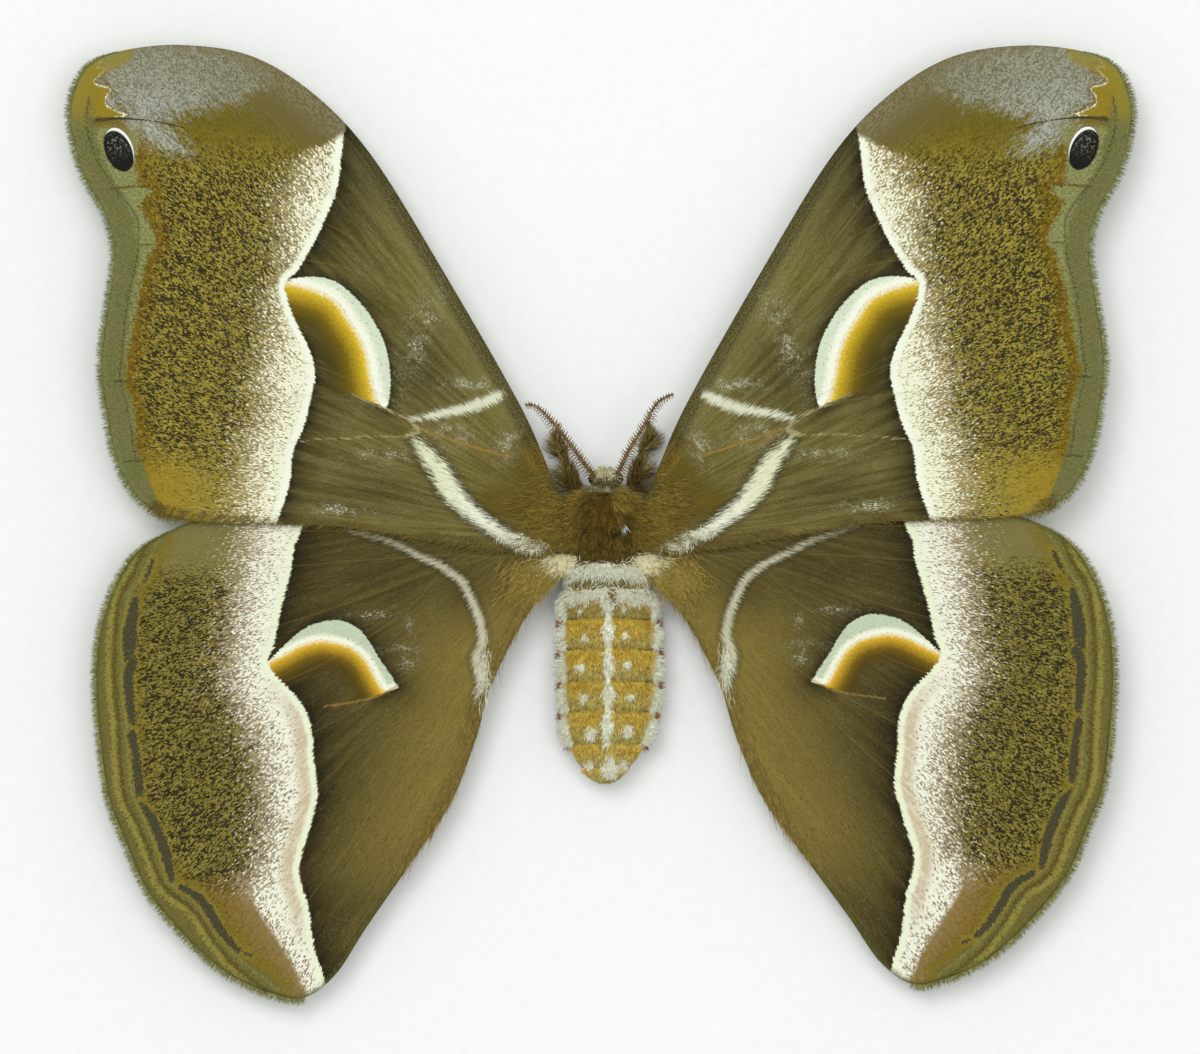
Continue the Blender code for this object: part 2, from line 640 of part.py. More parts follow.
def combine(item, others, operation):
    """One Boolean of the object with closed meshes, applied, after which those are removed."""
    group = bpy.data.collections.new(f"{item.name}_{operation.lower()}")
    for other in others:
        group.objects.link(other)
    step = item.modifiers.new(operation.title(), "BOOLEAN")
    step.operation = operation
    step.operand_type = "COLLECTION"
    step.collection = group
    step.solver = "MANIFOLD"
    baked(item)
    for other in list(others):
        bpy.data.objects.remove(other, do_unlink=True)
    bpy.data.collections.remove(group)
    return keep_largest(item)


def fuse(core, shapes, finish):
    pieces = [solid(f"{core.name}_lock_{i}", *shape, finish) for i, shape in enumerate(shapes)]
    return combine(core, pieces, "UNION")


def antenna(side_name):
    """A tapering shaft with a row of rays down each side, like a narrow feather."""
    side = SIDES[side_name]
    mirror = np.array([side, 1.0, 1.0])
    path = np.array(smooth_line(ANTENNA_PATHS[side_name], 1.5)) * mirror
    radii = [between(ANTENNA_RADIUS, s) for s in np.linspace(0, 1, len(path))]
    shaft = tube(f"antenna_{side_name}", path, radii, "antenna", sides=5)
    fine = np.array(smooth_line(ANTENNA_PATHS[side_name], 0.2)) * mirror
    lengths = np.r_[0, np.cumsum(np.linalg.norm(np.diff(fine, axis=0), axis=1))]
    runs = np.gradient(fine, axis=0)
    tilt = math.radians(RAY_TILT_DEG)
    rays = []
    for number in range(ANTENNA_RAYS):
        share = (number + 1.6) / (ANTENNA_RAYS + 1.4)
        at = int(np.searchsorted(lengths, share * lengths[-1]).clip(0, len(fine) - 1))
        run = runs[at] / np.linalg.norm(runs[at])
        across = np.cross(run, (0.0, 0.0, 1.0))
        across /= np.linalg.norm(across)
        upward = np.cross(across, run)
        for way in (-1, 1):
            out = across * way * math.cos(tilt) - upward * side * way * math.sin(tilt)
            length = RAY_LENGTH * math.sin(math.pi * (0.12 + 0.8 * share)) ** 0.6
            rays.append(spine(fine[at], out + run * RAY_LEAN, length, np.cross(run, out)))
    return fuse(shaft, rays, "antenna")


def eye(name, side, grow=0.0):
    centre = np.array(EYE_CENTRE) * (side, 1, 1) + (HEAD["centre"][0], 0, 0)
    return ball(name, centre, (EYE_RADIUS + grow,) * 3, "eye", sides=12, rows=8)


def leg(kind, side_name):
    side = SIDES[side_name]
    paths = LEG_PATHS[kind]
    path = np.array(paths.get(side_name) or paths["both"]) * (side, 1, 1)
    fine = smooth_line(path, 1.2)
    places = np.linspace(0, len(path) - 1, len(fine))
    radii = np.interp(places, range(len(path)), LEG_RADII[kind])
    made = tube(f"{kind}_{side_name}", fine, radii, "leg")
    if kind == "leg_fore":
        fuse(made, leg_locks(np.array(fine), radii, 3 + side), "leg")
    return made


def cut_clear(item, others):
    """Cuts closed shapes away from the object, one Boolean for each."""
    for other in others:
        combine(item, [other], "DIFFERENCE")
    return item


def main():
    clear_scene()
    abdomen = fuse(abdomen_core("abdomen"), abdomen_locks(), "abdomen")
    thorax = fuse(thorax_core("thorax"), thorax_locks(), "coat")
    head = fuse(ball("head", HEAD["centre"], HEAD["half"], "coat"), head_locks(), "coat")
    wider = tuple(half + GAP for half in HEAD["half"])
    cut_clear(thorax, [fuse(abdomen_core("cut", GAP), abdomen_locks(GAP), "abdomen")])
    cut_clear(thorax, [ball("cut", HEAD["centre"], wider, "coat")])
    cut_clear(head, [thorax_core("cut", GAP)])
    for kind in ("fore", "hind"):
        for name in SIDES:
            made = wing(f"{kind}wing_{name}", kind, name)
            cut_clear(made, [thorax_core("cut", GAP), abdomen_core("cut", GAP)])
            for body in (thorax, abdomen):
                room = wing("cut", kind, name, GAP)
                cut_clear(room, [thorax_core("inner", GAP / 6), abdomen_core("inner", GAP / 6)])
                cut_clear(body, [room])
    for name, side in SIDES.items():
        cut_clear(head, [eye("cut", side, GAP)])
        eye(f"eye_{name}", side)
        cut_clear(antenna(name), [ball("cut", HEAD["centre"], wider, "coat")])
        palp = tube(f"palp_{name}", np.array(PALP_PATH) * (side, 1, 1), PALP_RADII, "coat")
        cut_clear(palp, [ball("cut", HEAD["centre"], wider, "coat")])
        for kind in LEG_PATHS:
            cut_clear(leg(kind, name), [thorax_core("cut", GAP)])


main()
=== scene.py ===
"""The looks of a spread silkmoth at life size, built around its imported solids.

Lengths below are millimetres; MM turns them into Blender's metres. A wing is drawn on the left side:
u is the distance out from the midline and v the distance forward. The right wings take the same
drawing, set a little differently. A third number on a painted line is its half width.
"""

import math

import bmesh
import bpy
import numpy as np
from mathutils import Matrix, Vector, geometry, kdtree

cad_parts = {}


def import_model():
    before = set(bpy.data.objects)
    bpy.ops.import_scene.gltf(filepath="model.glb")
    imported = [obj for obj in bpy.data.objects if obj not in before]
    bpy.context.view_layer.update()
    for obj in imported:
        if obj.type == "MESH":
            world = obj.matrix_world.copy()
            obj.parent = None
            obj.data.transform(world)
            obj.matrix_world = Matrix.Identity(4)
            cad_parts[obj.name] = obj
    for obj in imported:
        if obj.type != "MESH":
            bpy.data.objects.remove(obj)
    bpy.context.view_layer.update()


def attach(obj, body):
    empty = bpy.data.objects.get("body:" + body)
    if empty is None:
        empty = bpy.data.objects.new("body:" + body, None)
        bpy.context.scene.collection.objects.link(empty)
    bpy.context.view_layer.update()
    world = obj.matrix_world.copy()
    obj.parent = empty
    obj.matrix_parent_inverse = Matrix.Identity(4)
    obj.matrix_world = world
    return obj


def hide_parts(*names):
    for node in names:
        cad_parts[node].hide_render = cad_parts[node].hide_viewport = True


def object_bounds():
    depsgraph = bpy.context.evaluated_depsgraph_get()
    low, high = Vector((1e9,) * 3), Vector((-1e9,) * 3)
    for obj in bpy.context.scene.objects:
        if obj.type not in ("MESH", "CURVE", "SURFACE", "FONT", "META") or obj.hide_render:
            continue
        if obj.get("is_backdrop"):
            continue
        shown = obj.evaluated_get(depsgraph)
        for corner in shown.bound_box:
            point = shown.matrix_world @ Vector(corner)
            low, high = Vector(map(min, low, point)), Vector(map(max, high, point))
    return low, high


MM = 0.001
SIDES = {"left": -1, "right": 1}

# fmt: off
# Wings, as in the solids
ROOT_THICKENING = 0.45
ROOT_REACH = 7.0
WING_ROOT_HEIGHT = 5.7
WING_LIFT = 0.034
WING_SAG = 0.0006
WING_SET = {
    ("fore", "left"): (0.0, 0.0, 1.0),
    ("fore", "right"): (0.7, -0.35, 0.988),
    ("hind", "left"): (0.0, 0.0, 1.0),
    ("hind", "right"): (1.2, -0.35, 0.982),
}
OUTLINE = {
    "fore": [
        (2.6, 1.9), (5.0, 3.4), (9.3, 12.9), (18.3, 28.6), (26.2, 41.3), (32.8, 48.3), (40.0, 52.6),
        (48.1, 53.8), (55.0, 53.0), (58.5, 51.3), (60.1, 48.2), (60.4, 44.5), (58.9, 39.0), (56.3, 34.2),
        (55.4, 30.2), (56.0, 25.0), (56.9, 18.3), (56.6, 13.8), (55.4, 7.6), (53.5, 3.3), (50.8, 0.8),
        (47.7, -0.2), (40.9, -0.7), (30.7, -0.9), (20.6, -2.4), (11.6, -3.8), (5.6, -3.9), (2.6, -3.0),
    ],
    "hind": [
        (2.6, -2.3), (5.2, -2.3), (13.8, -0.7), (24.0, 1.1), (35.2, 1.6), (43.7, 0.9), (49.3, -1.1),
        (53.1, -3.7), (55.5, -7.7), (57.0, -12.4), (57.5, -17.8), (57.1, -24.6), (56.1, -31.4), (54.2, -36.4),
        (51.8, -41.8), (47.5, -47.1), (42.6, -51.4), (37.5, -53.7), (33.8, -54.1), (30.2, -51.4), (26.8, -46.2),
        (21.7, -38.8), (17.2, -32.0), (14.3, -24.6), (13.1, -20.1), (11.3, -15.8), (8.2, -10.2), (5.0, -6.6),
        (2.6, -5.2),
    ],
}
PIVOT = {"fore": (2.6, 1.9), "hind": (5.2, -2.3)}
VEINS = {
    "fore": [
        [(3.4, 1.0), (10.2, 12.2), (19.0, 27.6), (26.9, 40.1), (32.6, 46.7)],
        [(3.4, 0.4), (13.8, 13.2), (22.8, 26.2), (30.2, 36.3), (37.5, 45.3), (47.0, 51.8)],
        [(28.6, 34.2), (34.0, 39.4), (42.0, 43.1), (53.3, 45.4), (58.8, 44.5)],
        [(24.6, 28.8), (31.0, 33.2), (42.0, 36.9), (52.0, 38.0), (57.2, 37.5)],
        [(22.2, 25.3), (30.0, 28.6), (42.0, 30.1), (53.8, 31.0)],
        [(3.4, -0.4), (11.6, 5.4), (19.5, 10.2), (26.0, 14.6), (39.8, 20.0), (54.6, 24.4)],
        [(21.2, 11.4), (28.6, 13.4), (39.8, 14.6), (55.5, 16.0)],
        [(15.6, 8.0), (24.2, 9.4), (34.1, 8.9), (46.5, 7.2), (54.0, 6.8)],
        [(3.4, -1.8), (19.5, -0.4), (34.1, 0.9), (47.4, 1.2)],
    ],
    "hind": [
        [(3.4, -3.2), (12.0, -2.0), (22.8, -1.4), (39.8, -1.5), (50.4, -4.2)],
        [(11.8, -4.2), (18.4, -4.0), (30.7, -4.8), (45.4, -6.5), (54.6, -8.8)],
        [(3.4, -3.9), (12.0, -4.2), (19.5, -5.8), (29.6, -9.6), (42.0, -13.2), (56.0, -15.0)],
        [(18.2, -5.6), (23.0, -10.6), (33.0, -16.8), (45.4, -21.2), (56.0, -23.2)],
        [(3.4, -4.6), (12.6, -10.2), (19.2, -15.8), (33.0, -24.0), (45.4, -29.2), (54.9, -31.4)],
        [(17.8, -14.7), (23.6, -21.4), (33.0, -30.6), (42.6, -38.1), (50.4, -41.3)],
        [(13.4, -11.0), (18.8, -20.6), (27.3, -34.4), (35.2, -44.9), (41.4, -49.8)],
        [(4.6, -5.9), (11.4, -13.6), (16.0, -24.6), (22.8, -38.1), (29.2, -47.9)],
    ],
}

# Wing drawing
FORE_BAND_INNER = [
    (28.5, 46.5), (29.2, 44.9), (29.5, 42.9), (29.8, 40.6), (30.0, 38.3), (30.6, 36.1), (31.5, 34.1),
    (32.5, 31.8), (33.7, 29.7), (34.7, 28.0), (35.8, 27.1), (36.0, 25.9), (35.5, 23.9), (34.7, 22.0),
    (34.1, 20.9), (33.3, 19.2), (32.8, 17.5), (32.7, 15.8), (33.2, 13.5), (33.7, 11.3), (34.4, 9.4),
    (35.0, 8.2), (35.3, 6.8), (35.4, 5.1), (35.9, 2.8), (36.5, 1.1), (37.2, -1.1),
]
FORE_BAND_OUTER = [
    (31.6, 46.2), (31.9, 44.2), (32.1, 42.3), (32.6, 40.6), (33.6, 38.3), (35.0, 36.1), (35.6, 33.8),
    (36.1, 31.6), (36.5, 29.3), (36.3, 27.6), (37.1, 26.2), (38.0, 24.6), (38.0, 22.6), (37.9, 20.9),
    (38.7, 18.0), (39.4, 15.8), (38.8, 13.5), (39.2, 11.3), (40.7, 9.0), (40.6, 6.8), (41.1, 4.5), (41.2, 2.3),
    (41.2, -1.1),
]
FORE_CRESCENT_OUTER = [
    (36.0, 27.0), (34.4, 27.3), (32.7, 27.4), (31.0, 27.1), (29.5, 26.3), (27.7, 24.6), (26.5, 23.1),
    (25.3, 21.0), (24.6, 19.1), (24.2, 16.6), (24.2, 14.7), (24.4, 13.3), (24.7, 12.6),
]
FORE_CRESCENT_INNER = [
    (24.7, 12.6), (25.5, 13.3), (26.2, 16.0), (26.8, 18.9), (27.7, 21.0), (29.0, 23.0), (30.2, 24.7),
    (32.0, 25.8), (33.8, 26.4), (36.0, 27.0),
]
FORE_CELL_LINE = [
    (11.8, 14.1, 0.39), (12.5, 13.8, 0.56), (13.5, 13.3, 0.62), (15.2, 12.7, 0.56), (16.9, 12.3, 0.47),
    (18.6, 12.0, 0.39), (20.3, 11.6, 0.27), (21.8, 11.3, 0.16),
]
FORE_JUNCTION_LINE = [
    (28.5, 14.2, 0.06), (27.4, 13.6, 0.1), (26.1, 13.1, 0.12), (24.5, 12.4, 0.16), (23.1, 11.8, 0.18),
    (21.8, 11.1, 0.2), (21.0, 10.0, 0.25), (21.8, 9.7, 0.39), (22.6, 9.4, 0.2), (23.8, 9.4, 0.1),
    (26.5, 9.5, 0.09), (29.0, 9.2, 0.08), (31.6, 9.1, 0.07), (34.2, 8.8, 0.06),
]
FORE_OBLIQUE_BAND = [
    (21.5, 9.0, 0.28), (20.0, 7.3, 0.85), (18.7, 5.6, 1.07), (17.7, 3.8, 1.13), (16.2, 1.9, 0.96),
    (14.3, 0.3, 0.79), (12.5, -1.0, 0.68), (10.7, -2.2, 0.62), (9.1, -2.9, 0.62), (7.6, -3.5, 0.56),
]
FORE_CELL_VEIN = [
    (20.8, 10.3, 0.1), (17.7, 9.2, 0.11), (14.0, 8.0, 0.11), (11.1, 7.2, 0.08),
]
ZIGZAG = [
    (56.28, 52.33), (56.84, 51.65), (57.35, 50.98), (56.22, 50.98), (57.07, 50.07), (57.63, 49.4),
    (57.07, 48.95), (55.71, 48.61), (56.16, 47.82), (56.33, 47.14), (56.05, 46.58), (54.81, 45.96),
    (53.8, 45.62), (54.59, 45.45), (55.37, 45.34),
]
APEX_PATCH = [
    (56.5, 52.8), (52.7, 53.2), (48.9, 53.5), (45.2, 53.1), (41.4, 52.1), (38.7, 50.8), (37.7, 49.6),
    (39.4, 48.2), (41.4, 47.1), (43.9, 46.5), (46.5, 46.0), (47.9, 45.5), (49.4, 44.7), (48.5, 43.6),
    (47.5, 42.4), (46.7, 41.6), (47.9, 41.3), (50.0, 41.6), (51.4, 42.3), (52.7, 43.0), (53.1, 43.6),
    (53.9, 44.7), (54.2, 45.2), (53.8, 45.6), (54.8, 46.0), (56.1, 46.6), (56.3, 47.1), (55.7, 48.6),
    (57.1, 48.9), (57.6, 49.4), (56.2, 51.0), (57.3, 51.0),
]
EYE_LINE = [
    (59.21, 43.98, 0.06), (58.53, 44.38, 0.11), (57.74, 44.83, 0.19), (56.5, 45.11, 0.2), (55.15, 45.26, 0.14),
    (53.46, 45.19, 0.09), (50.64, 44.92, 0.06), (47.48, 44.21, 0.03),
]
EYE_FIELD = [
    (58.2, 43.9), (56.5, 44.0), (55.4, 44.2), (54.9, 41.7), (54.0, 39.5), (53.2, 39.4), (52.6, 38.7),
    (53.1, 37.9), (55.1, 37.7), (56.5, 39.2), (57.5, 41.5),
]
FORE_EDGE_LINE = [
    (58.1, 47.6), (58.4, 46.0), (58.4, 44.4), (58.2, 43.2), (57.5, 41.2), (56.5, 39.2), (55.1, 37.3),
    (53.7, 35.6), (52.6, 33.6), (52.6, 31.0), (52.8, 28.8), (53.6, 25.9), (53.9, 23.7), (54.2, 20.3),
    (54.6, 16.4), (54.0, 13.5), (53.5, 11.3), (53.1, 8.5), (52.6, 6.5),
]
FORE_OCHRE_EDGE = [
    (55.1, 51.9), (55.8, 48.5), (54.9, 46.0), (51.3, 45.3), (52.7, 41.7), (52.6, 38.7), (52.3, 37.8),
    (51.0, 37.2), (51.7, 36.1), (52.3, 35.3), (51.3, 33.6), (50.6, 32.3), (50.5, 31.0), (51.2, 29.9),
    (51.7, 28.4), (52.3, 25.9), (52.6, 24.6), (52.8, 23.1), (53.3, 20.3), (53.9, 16.7), (54.0, 15.6),
    (53.2, 13.5), (52.8, 11.5), (52.7, 8.5), (52.1, 6.7), (51.5, 4.5), (50.6, 2.3), (50.2, 0.0),
]
HIND_BAND_INNER = [
    (33.8, 1.1), (34.4, -1.7), (35.0, -2.8), (35.2, -4.5), (35.5, -6.2), (36.0, -7.9), (36.4, -9.6),
    (36.8, -11.3), (37.1, -13.0), (37.4, -14.4), (38.0, -15.8), (37.6, -16.9), (36.4, -18.3), (35.0, -19.7),
    (33.8, -21.4), (33.2, -23.1), (32.9, -24.8), (32.9, -26.5), (32.6, -28.8), (32.4, -31.0), (32.9, -33.3),
    (33.5, -35.5), (34.2, -37.8), (34.5, -39.5), (34.1, -41.7), (33.5, -43.4), (33.2, -45.7), (33.0, -47.4),
    (32.6, -49.1), (32.1, -50.5), (31.4, -53.0),
]
HIND_BAND_OUTER = [
    (38.7, 0.6), (38.6, -2.3), (38.9, -4.5), (39.6, -9.0), (40.0, -13.5), (40.6, -18.0), (40.4, -22.6),
    (39.1, -27.1), (38.7, -31.6), (38.7, -36.1), (39.4, -40.6), (39.5, -42.9), (38.7, -44.5), (37.6, -46.2),
    (36.1, -48.5), (34.8, -50.8), (34.1, -52.4), (33.0, -54.7),
]
HIND_CRESCENT_OUTER = [
    (37.9, -15.9), (36.1, -14.1), (34.4, -12.6), (32.7, -11.7), (30.5, -11.3), (29.2, -11.5), (27.6, -12.4),
    (26.4, -14.0), (25.4, -15.7), (24.2, -17.4), (23.3, -18.9),
]
HIND_CRESCENT_INNER = [
    (23.3, -18.9), (24.7, -19.2), (25.6, -18.0), (26.6, -16.2), (27.7, -14.9), (29.0, -14.1), (30.5, -13.7),
    (32.1, -13.5), (34.2, -14.0), (36.1, -15.0), (37.9, -15.9),
]
HIND_BASE_LINE = [
    (28.8, -1.1, 0.23), (27.4, -1.5, 0.29), (24.8, -2.3, 0.34), (22.9, -3.0, 0.36), (20.9, -4.1, 0.38),
    (19.3, -4.8, 0.41), (17.3, -6.0, 0.45), (15.9, -7.3, 0.47), (14.8, -9.6, 0.5), (14.1, -11.5, 0.52),
    (13.8, -13.5, 0.56), (14.5, -15.6, 0.56), (14.2, -17.1, 0.56), (13.8, -18.9, 0.45),
]
HIND_FOLD_LINE = [
    (23.3, -18.7, 0.08), (24.5, -19.4, 0.08), (25.9, -20.0, 0.08), (28.8, -20.6, 0.06), (31.6, -21.0, 0.05),
]
HIND_EDGE_LINE = [
    (49.5, -2.3), (50.6, -4.1), (51.8, -6.8), (53.1, -9.0), (53.6, -12.2), (53.8, -15.6), (53.7, -19.2),
    (53.3, -23.1), (53.1, -27.1), (52.7, -30.7), (51.3, -33.6), (50.0, -36.7), (49.1, -39.2), (48.2, -40.8),
    (46.2, -42.1), (44.5, -44.0), (42.9, -46.5), (41.2, -48.7), (39.4, -50.3), (36.7, -52.4),
]
# Slate dashes along the hind wing's margin
DASHES = [
    [(50.8, -4.4, 0.17), (51.3, -5.6, 0.25), (52.0, -7.1, 0.17)],
    [(52.9, -9.0, 0.39), (53.2, -10.7, 0.62), (53.5, -12.6, 0.73), (53.6, -14.4, 0.73), (53.9, -15.5, 0.34)],
    [(53.2, -16.0, 0.62), (53.7, -17.5, 0.56), (53.6, -19.2, 0.56), (53.5, -20.9, 0.51), (53.2, -22.8, 0.39)],
    [(53.3, -24.2, 0.51), (52.9, -26.2, 0.45), (52.7, -28.2, 0.51), (52.4, -30.7, 0.45)],
    [
        (52.3, -31.9, 0.23), (51.3, -33.3, 0.51), (50.4, -35.2, 0.56), (49.6, -37.2, 0.56), (49.2, -38.9, 0.51),
        (48.8, -40.6, 0.34),
    ],
    [
        (47.9, -41.4, 0.34), (46.2, -42.3, 0.45), (45.0, -43.5, 0.51), (44.0, -45.2, 0.51), (42.7, -47.1, 0.45),
        (41.4, -48.5, 0.34),
    ],
    [(40.5, -48.9, 0.23), (39.8, -49.2, 0.18)],
]

BAND_INNER = {"fore": FORE_BAND_INNER, "hind": HIND_BAND_INNER}
BAND_OUTER = {"fore": FORE_BAND_OUTER, "hind": HIND_BAND_OUTER}
CRESCENT_OUTER = {"fore": FORE_CRESCENT_OUTER, "hind": HIND_CRESCENT_OUTER}
CRESCENT_INNER = {"fore": FORE_CRESCENT_INNER, "hind": HIND_CRESCENT_INNER}
# Vein ends that cross the pale strip, and places where loose scales catch the light: painted highlights
TICKS = [
    [(55.6, 37.3), (53.8, 37.5), (51.3, 37.6)], [(52.4, 30.9), (51.7, 31.0), (51.1, 31.0)],
    [(52.6, 24.5), (51.9, 24.6), (51.3, 24.7)], [(55.2, 15.6), (53.8, 15.7), (52.2, 15.9)],
    [(54.0, 6.6), (53.0, 6.7), (51.6, 6.9)],
]
FORE_GLINTS = [
    ((15.6, 15.3), (3.4, 0.9), 0.0), ((11.2, 8.4), (1.5, 2.2), -0.3), ((25.0, 7.2), (3.6, 0.8), 0.0),
    ((30.0, 1.2), (3.0, 0.8), 1.0), ((17.5, 9.5), (3.0, 1.6), 0.0),
]
HIND_GLINTS = [
    ((26.6, -10.7), (2.4, 0.45), 0.0), ((22.1, -12.2), (0.45, 1.2), 0.0), ((23.4, -14.6), (2.0, 0.6), 0.0),
    ((22.2, -15.9), (0.9, 0.9), 0.0),
]
PAINTED = {
    "fore": [FORE_CELL_LINE, FORE_JUNCTION_LINE, FORE_OBLIQUE_BAND, FORE_CELL_VEIN, EYE_LINE, ZIGZAG],
    "hind": [HIND_BASE_LINE, HIND_FOLD_LINE],
}
GUIDES = {
    "fore": [
        FORE_BAND_INNER, FORE_CRESCENT_OUTER, FORE_CRESCENT_INNER, FORE_CELL_LINE, FORE_JUNCTION_LINE,
        FORE_CELL_VEIN, ZIGZAG, EYE_LINE, FORE_EDGE_LINE, FORE_OCHRE_EDGE, *TICKS,
    ],
    "hind": [HIND_BAND_INNER, HIND_CRESCENT_OUTER, HIND_CRESCENT_INNER, HIND_FOLD_LINE, HIND_EDGE_LINE, *DASHES],
}
EYESPOT = {"centre": (54.75, 41.75), "half": (1.6, 2.6), "turn_deg": -20.0}
MARGIN_SPAN = {"fore": (8, 21), "hind": (6, 18)}
FLOW_ROOT = {"fore": (-2.0, -3.0), "hind": (-1.0, 3.0)}
FLOW_ARC = 45.0
# Far corners that close each line into the area beyond it
BAND_CORNERS = {
    "fore": [(37.2, -80), (80, -80), (80, 80), (28.5, 80)],
    "hind": [(31.4, -80), (80, -80), (80, 20), (33.8, 20)],
}
BORDER_CORNERS = {
    "fore": [(50.2, -20), (80, -20), (80, 80), (55.1, 80)],
    "hind": [(36.7, -90), (80, -90), (80, 20), (49.5, 20)],
}
ZIGZAG_CORNERS = [(70, 44.6), (70, 60), (56.2, 60)]
HOLLOW_CORNERS = {
    "fore": [(60, 27), (60, 16), (28.5, 14.2)],
    "hind": [(60, -15), (60, -24), (31.6, -20.9), (25.9, -19.9)],
}

# Body, as in the solids
THORAX = {"middle": -0.2, "half_length": 4.2, "half_width": 4.6, "half_height": 4.7, "centre_z": 4.1,
          "bluntness": 2.6}
ABDOMEN = {"start": -3.9, "middle": -16.2, "front": 16.3, "back": 13.5, "half_width": 5.6,
           "flatness": 0.82, "centre_z": 4.05, "bluntness": 2.4, "lean": 0.6}
SEGMENT_ENDS = [-7.7, -11.0, -14.4, -18.0, -21.4, -25.1, -27.7, -29.6]
SEGMENT_DEPTH = 0.05
WAIST = {"radius": 3.4, "centre_z": 4.1}
HEAD = {"centre": (0.1, 4.25, 5.2), "half": (1.55, 1.45, 1.95)}
NECK_PATH = [(0.0, 2.6, 4.6), (0.05, 3.6, 4.9), (0.1, 4.4, 5.1)]
NECK_RADIUS = 1.25
EYE_RADIUS = 0.74
EYE_CENTRE = (1.25, 4.65, 4.7)
ANTENNA_PATHS = {
    "left": [(1.0, 4.7, 6.2), (2.2, 6.2, 7.2), (3.5, 8.0, 7.6), (5.2, 10.2, 7.9), (6.7, 11.9, 8.1),
             (7.6, 12.7, 8.2), (8.4, 13.0, 8.2), (9.0, 12.95, 8.2)],
    "right": [(1.2, 4.7, 6.2), (1.9, 6.2, 7.2), (2.7, 7.9, 7.6), (4.1, 10.1, 7.9), (5.1, 12.0, 8.1),
              (5.9, 13.2, 8.2), (6.7, 13.75, 8.3), (7.7, 14.2, 8.4)],
}
ANTENNA_RADIUS = (0.25, 0.1)
ANTENNA_RAYS = 34
# Rays of an antenna: side (1 outer), length, lean along the shaft, tilt upward, radius
RAYS = [(-1, 0.72, 0.3, 0.3, 0.14), (1, 1.4, -0.4, -0.2, 0.075), (1, 1.0, 0.25, 0.1, 0.065)]
LEG_PATHS = {
    "leg_fore": {
        "left": [(1.6, 2.4, 2.2), (3.2, 3.4, 2.6), (4.2, 5.6, 2.3), (4.9, 7.9, 1.7), (5.5, 9.6, 1.1),
                 (5.3, 10.7, 0.7)],
        "right": [(1.6, 2.4, 2.2), (3.0, 3.4, 2.6), (3.7, 5.6, 2.3), (4.4, 7.8, 1.7), (5.0, 9.6, 1.1),
                  (4.9, 11.2, 0.7)],
    },
    "leg_middle": {
        "both": [(1.6, 0.6, 1.3), (4.6, 1.6, 2.3), (6.4, 2.0, 2.4), (7.3, -0.6, 1.5),
                 (7.9, -2.8, 0.7), (8.6, -5.6, 0.3)],
    },
    "leg_hind": {
        "both": [(1.6, -2.2, 1.3), (4.6, -2.9, 2.3), (6.6, -3.4, 2.4), (7.1, -5.4, 1.4),
                 (7.8, -7.2, 0.7), (9.6, -10.0, 0.3)],
    },
}
LEG_RADII = {
    "leg_fore": [0.7, 0.9, 0.95, 0.75, 0.45, 0.35],
    "leg_middle": [0.7, 0.85, 0.8, 0.6, 0.45, 0.3],
    "leg_hind": [0.7, 0.85, 0.8, 0.6, 0.45, 0.3],
}
PALP_PATH = [(0.45, 5.1, 4.0), (0.6, 5.8, 3.2), (0.6, 5.9, 2.3), (0.5, 5.7, 1.6)]
PALP_RADII = [0.4, 0.42, 0.36, 0.26]

# Skin and coat
SKIN_DEPTH = 0.3
SKIN_FLOOR = 0.03
SKIN_VOXEL = 0.14
LEG_SKIN_SHARE = 0.62
TUFT_FLATNESS = 0.2
TUFT_FLOOR = 0.01
MAP_PATCH = 0.003
COAT_GAIN = 1.75
SEED = 7
THORAX_TUFTS = 11500
WAIST_TUFTS = 900
ABDOMEN_TUFTS = 27000
ABDOMEN_PIECES = 3
FLANK_TUFTS = 210
HEAD_TUFTS = 2600
LEG_TUFTS = 1700
SHOULDER_TUFTS = 1500
INNER_TUFTS = 1500
FRINGE_TUFTS = {"fore": 3200, "hind": 3800}
FRINGE_LENGTH = 0.68
FORE_HEM = (20, 27)
HEM_TUFTS = 2200
INNER_SPAN = (21, 28)
ABDOMEN_SPAN = (-4.3, -29.4)
AXIS_HEIGHT = 4.1
# How bushy a fore leg is along its length
LEG_BULK = ((0, 0.3, 0.46, 0.52, 0.6, 0.66, 0.8, 0.9, 1), (0.9, 1.2, 1.1, 0.1, 0.2, 1.1, 0.9, 0.2, 0.1))
# Where a tuft's ten points lie in its patch of the map
TUFT_MAP = [
    (0, 0), (0.5, 0), (1, 0), (0, 0.4), (0.5, 0.4), (1, 0.4), (0.1, 0.8), (0.5, 0.8), (0.9, 0.8), (0.5, 1),
]
# Stripes along the hind margin: middle and half width from its edge line, colour, strength
MARGIN_STRIPES = [
    (0.56, 0.16, (138, 136, 76), 0.8), (1.02, 0.34, (112, 112, 56), 0.7), (1.52, 0.40, (92, 76, 30), 0.9),
    (2.12, 0.50, (148, 138, 64), 0.9), (2.92, 0.60, (112, 100, 50), 0.6),
]
DORSAL_HALF_WIDTH = 0.48
PIN = {"place": (1.05, -0.85), "radius": 0.36}
GLEAM = {"place": (1.6, -0.2), "radius": 0.3}
SPOTS = [
    ((-2.7, -10.1), 0.34), ((-2.2, -13.2), 0.42), ((-2.7, -16.6), 0.46), ((-2.4, -20.1), 0.46),
    ((-1.6, -24.1), 0.66), ((-1.8, -27.6), 0.5), ((2.1, -10.0), 0.34), ((2.3, -13.0), 0.42),
    ((2.5, -16.3), 0.42), ((2.8, -19.9), 0.42), ((2.6, -23.8), 0.66), ((2.1, -27.6), 0.5),
]
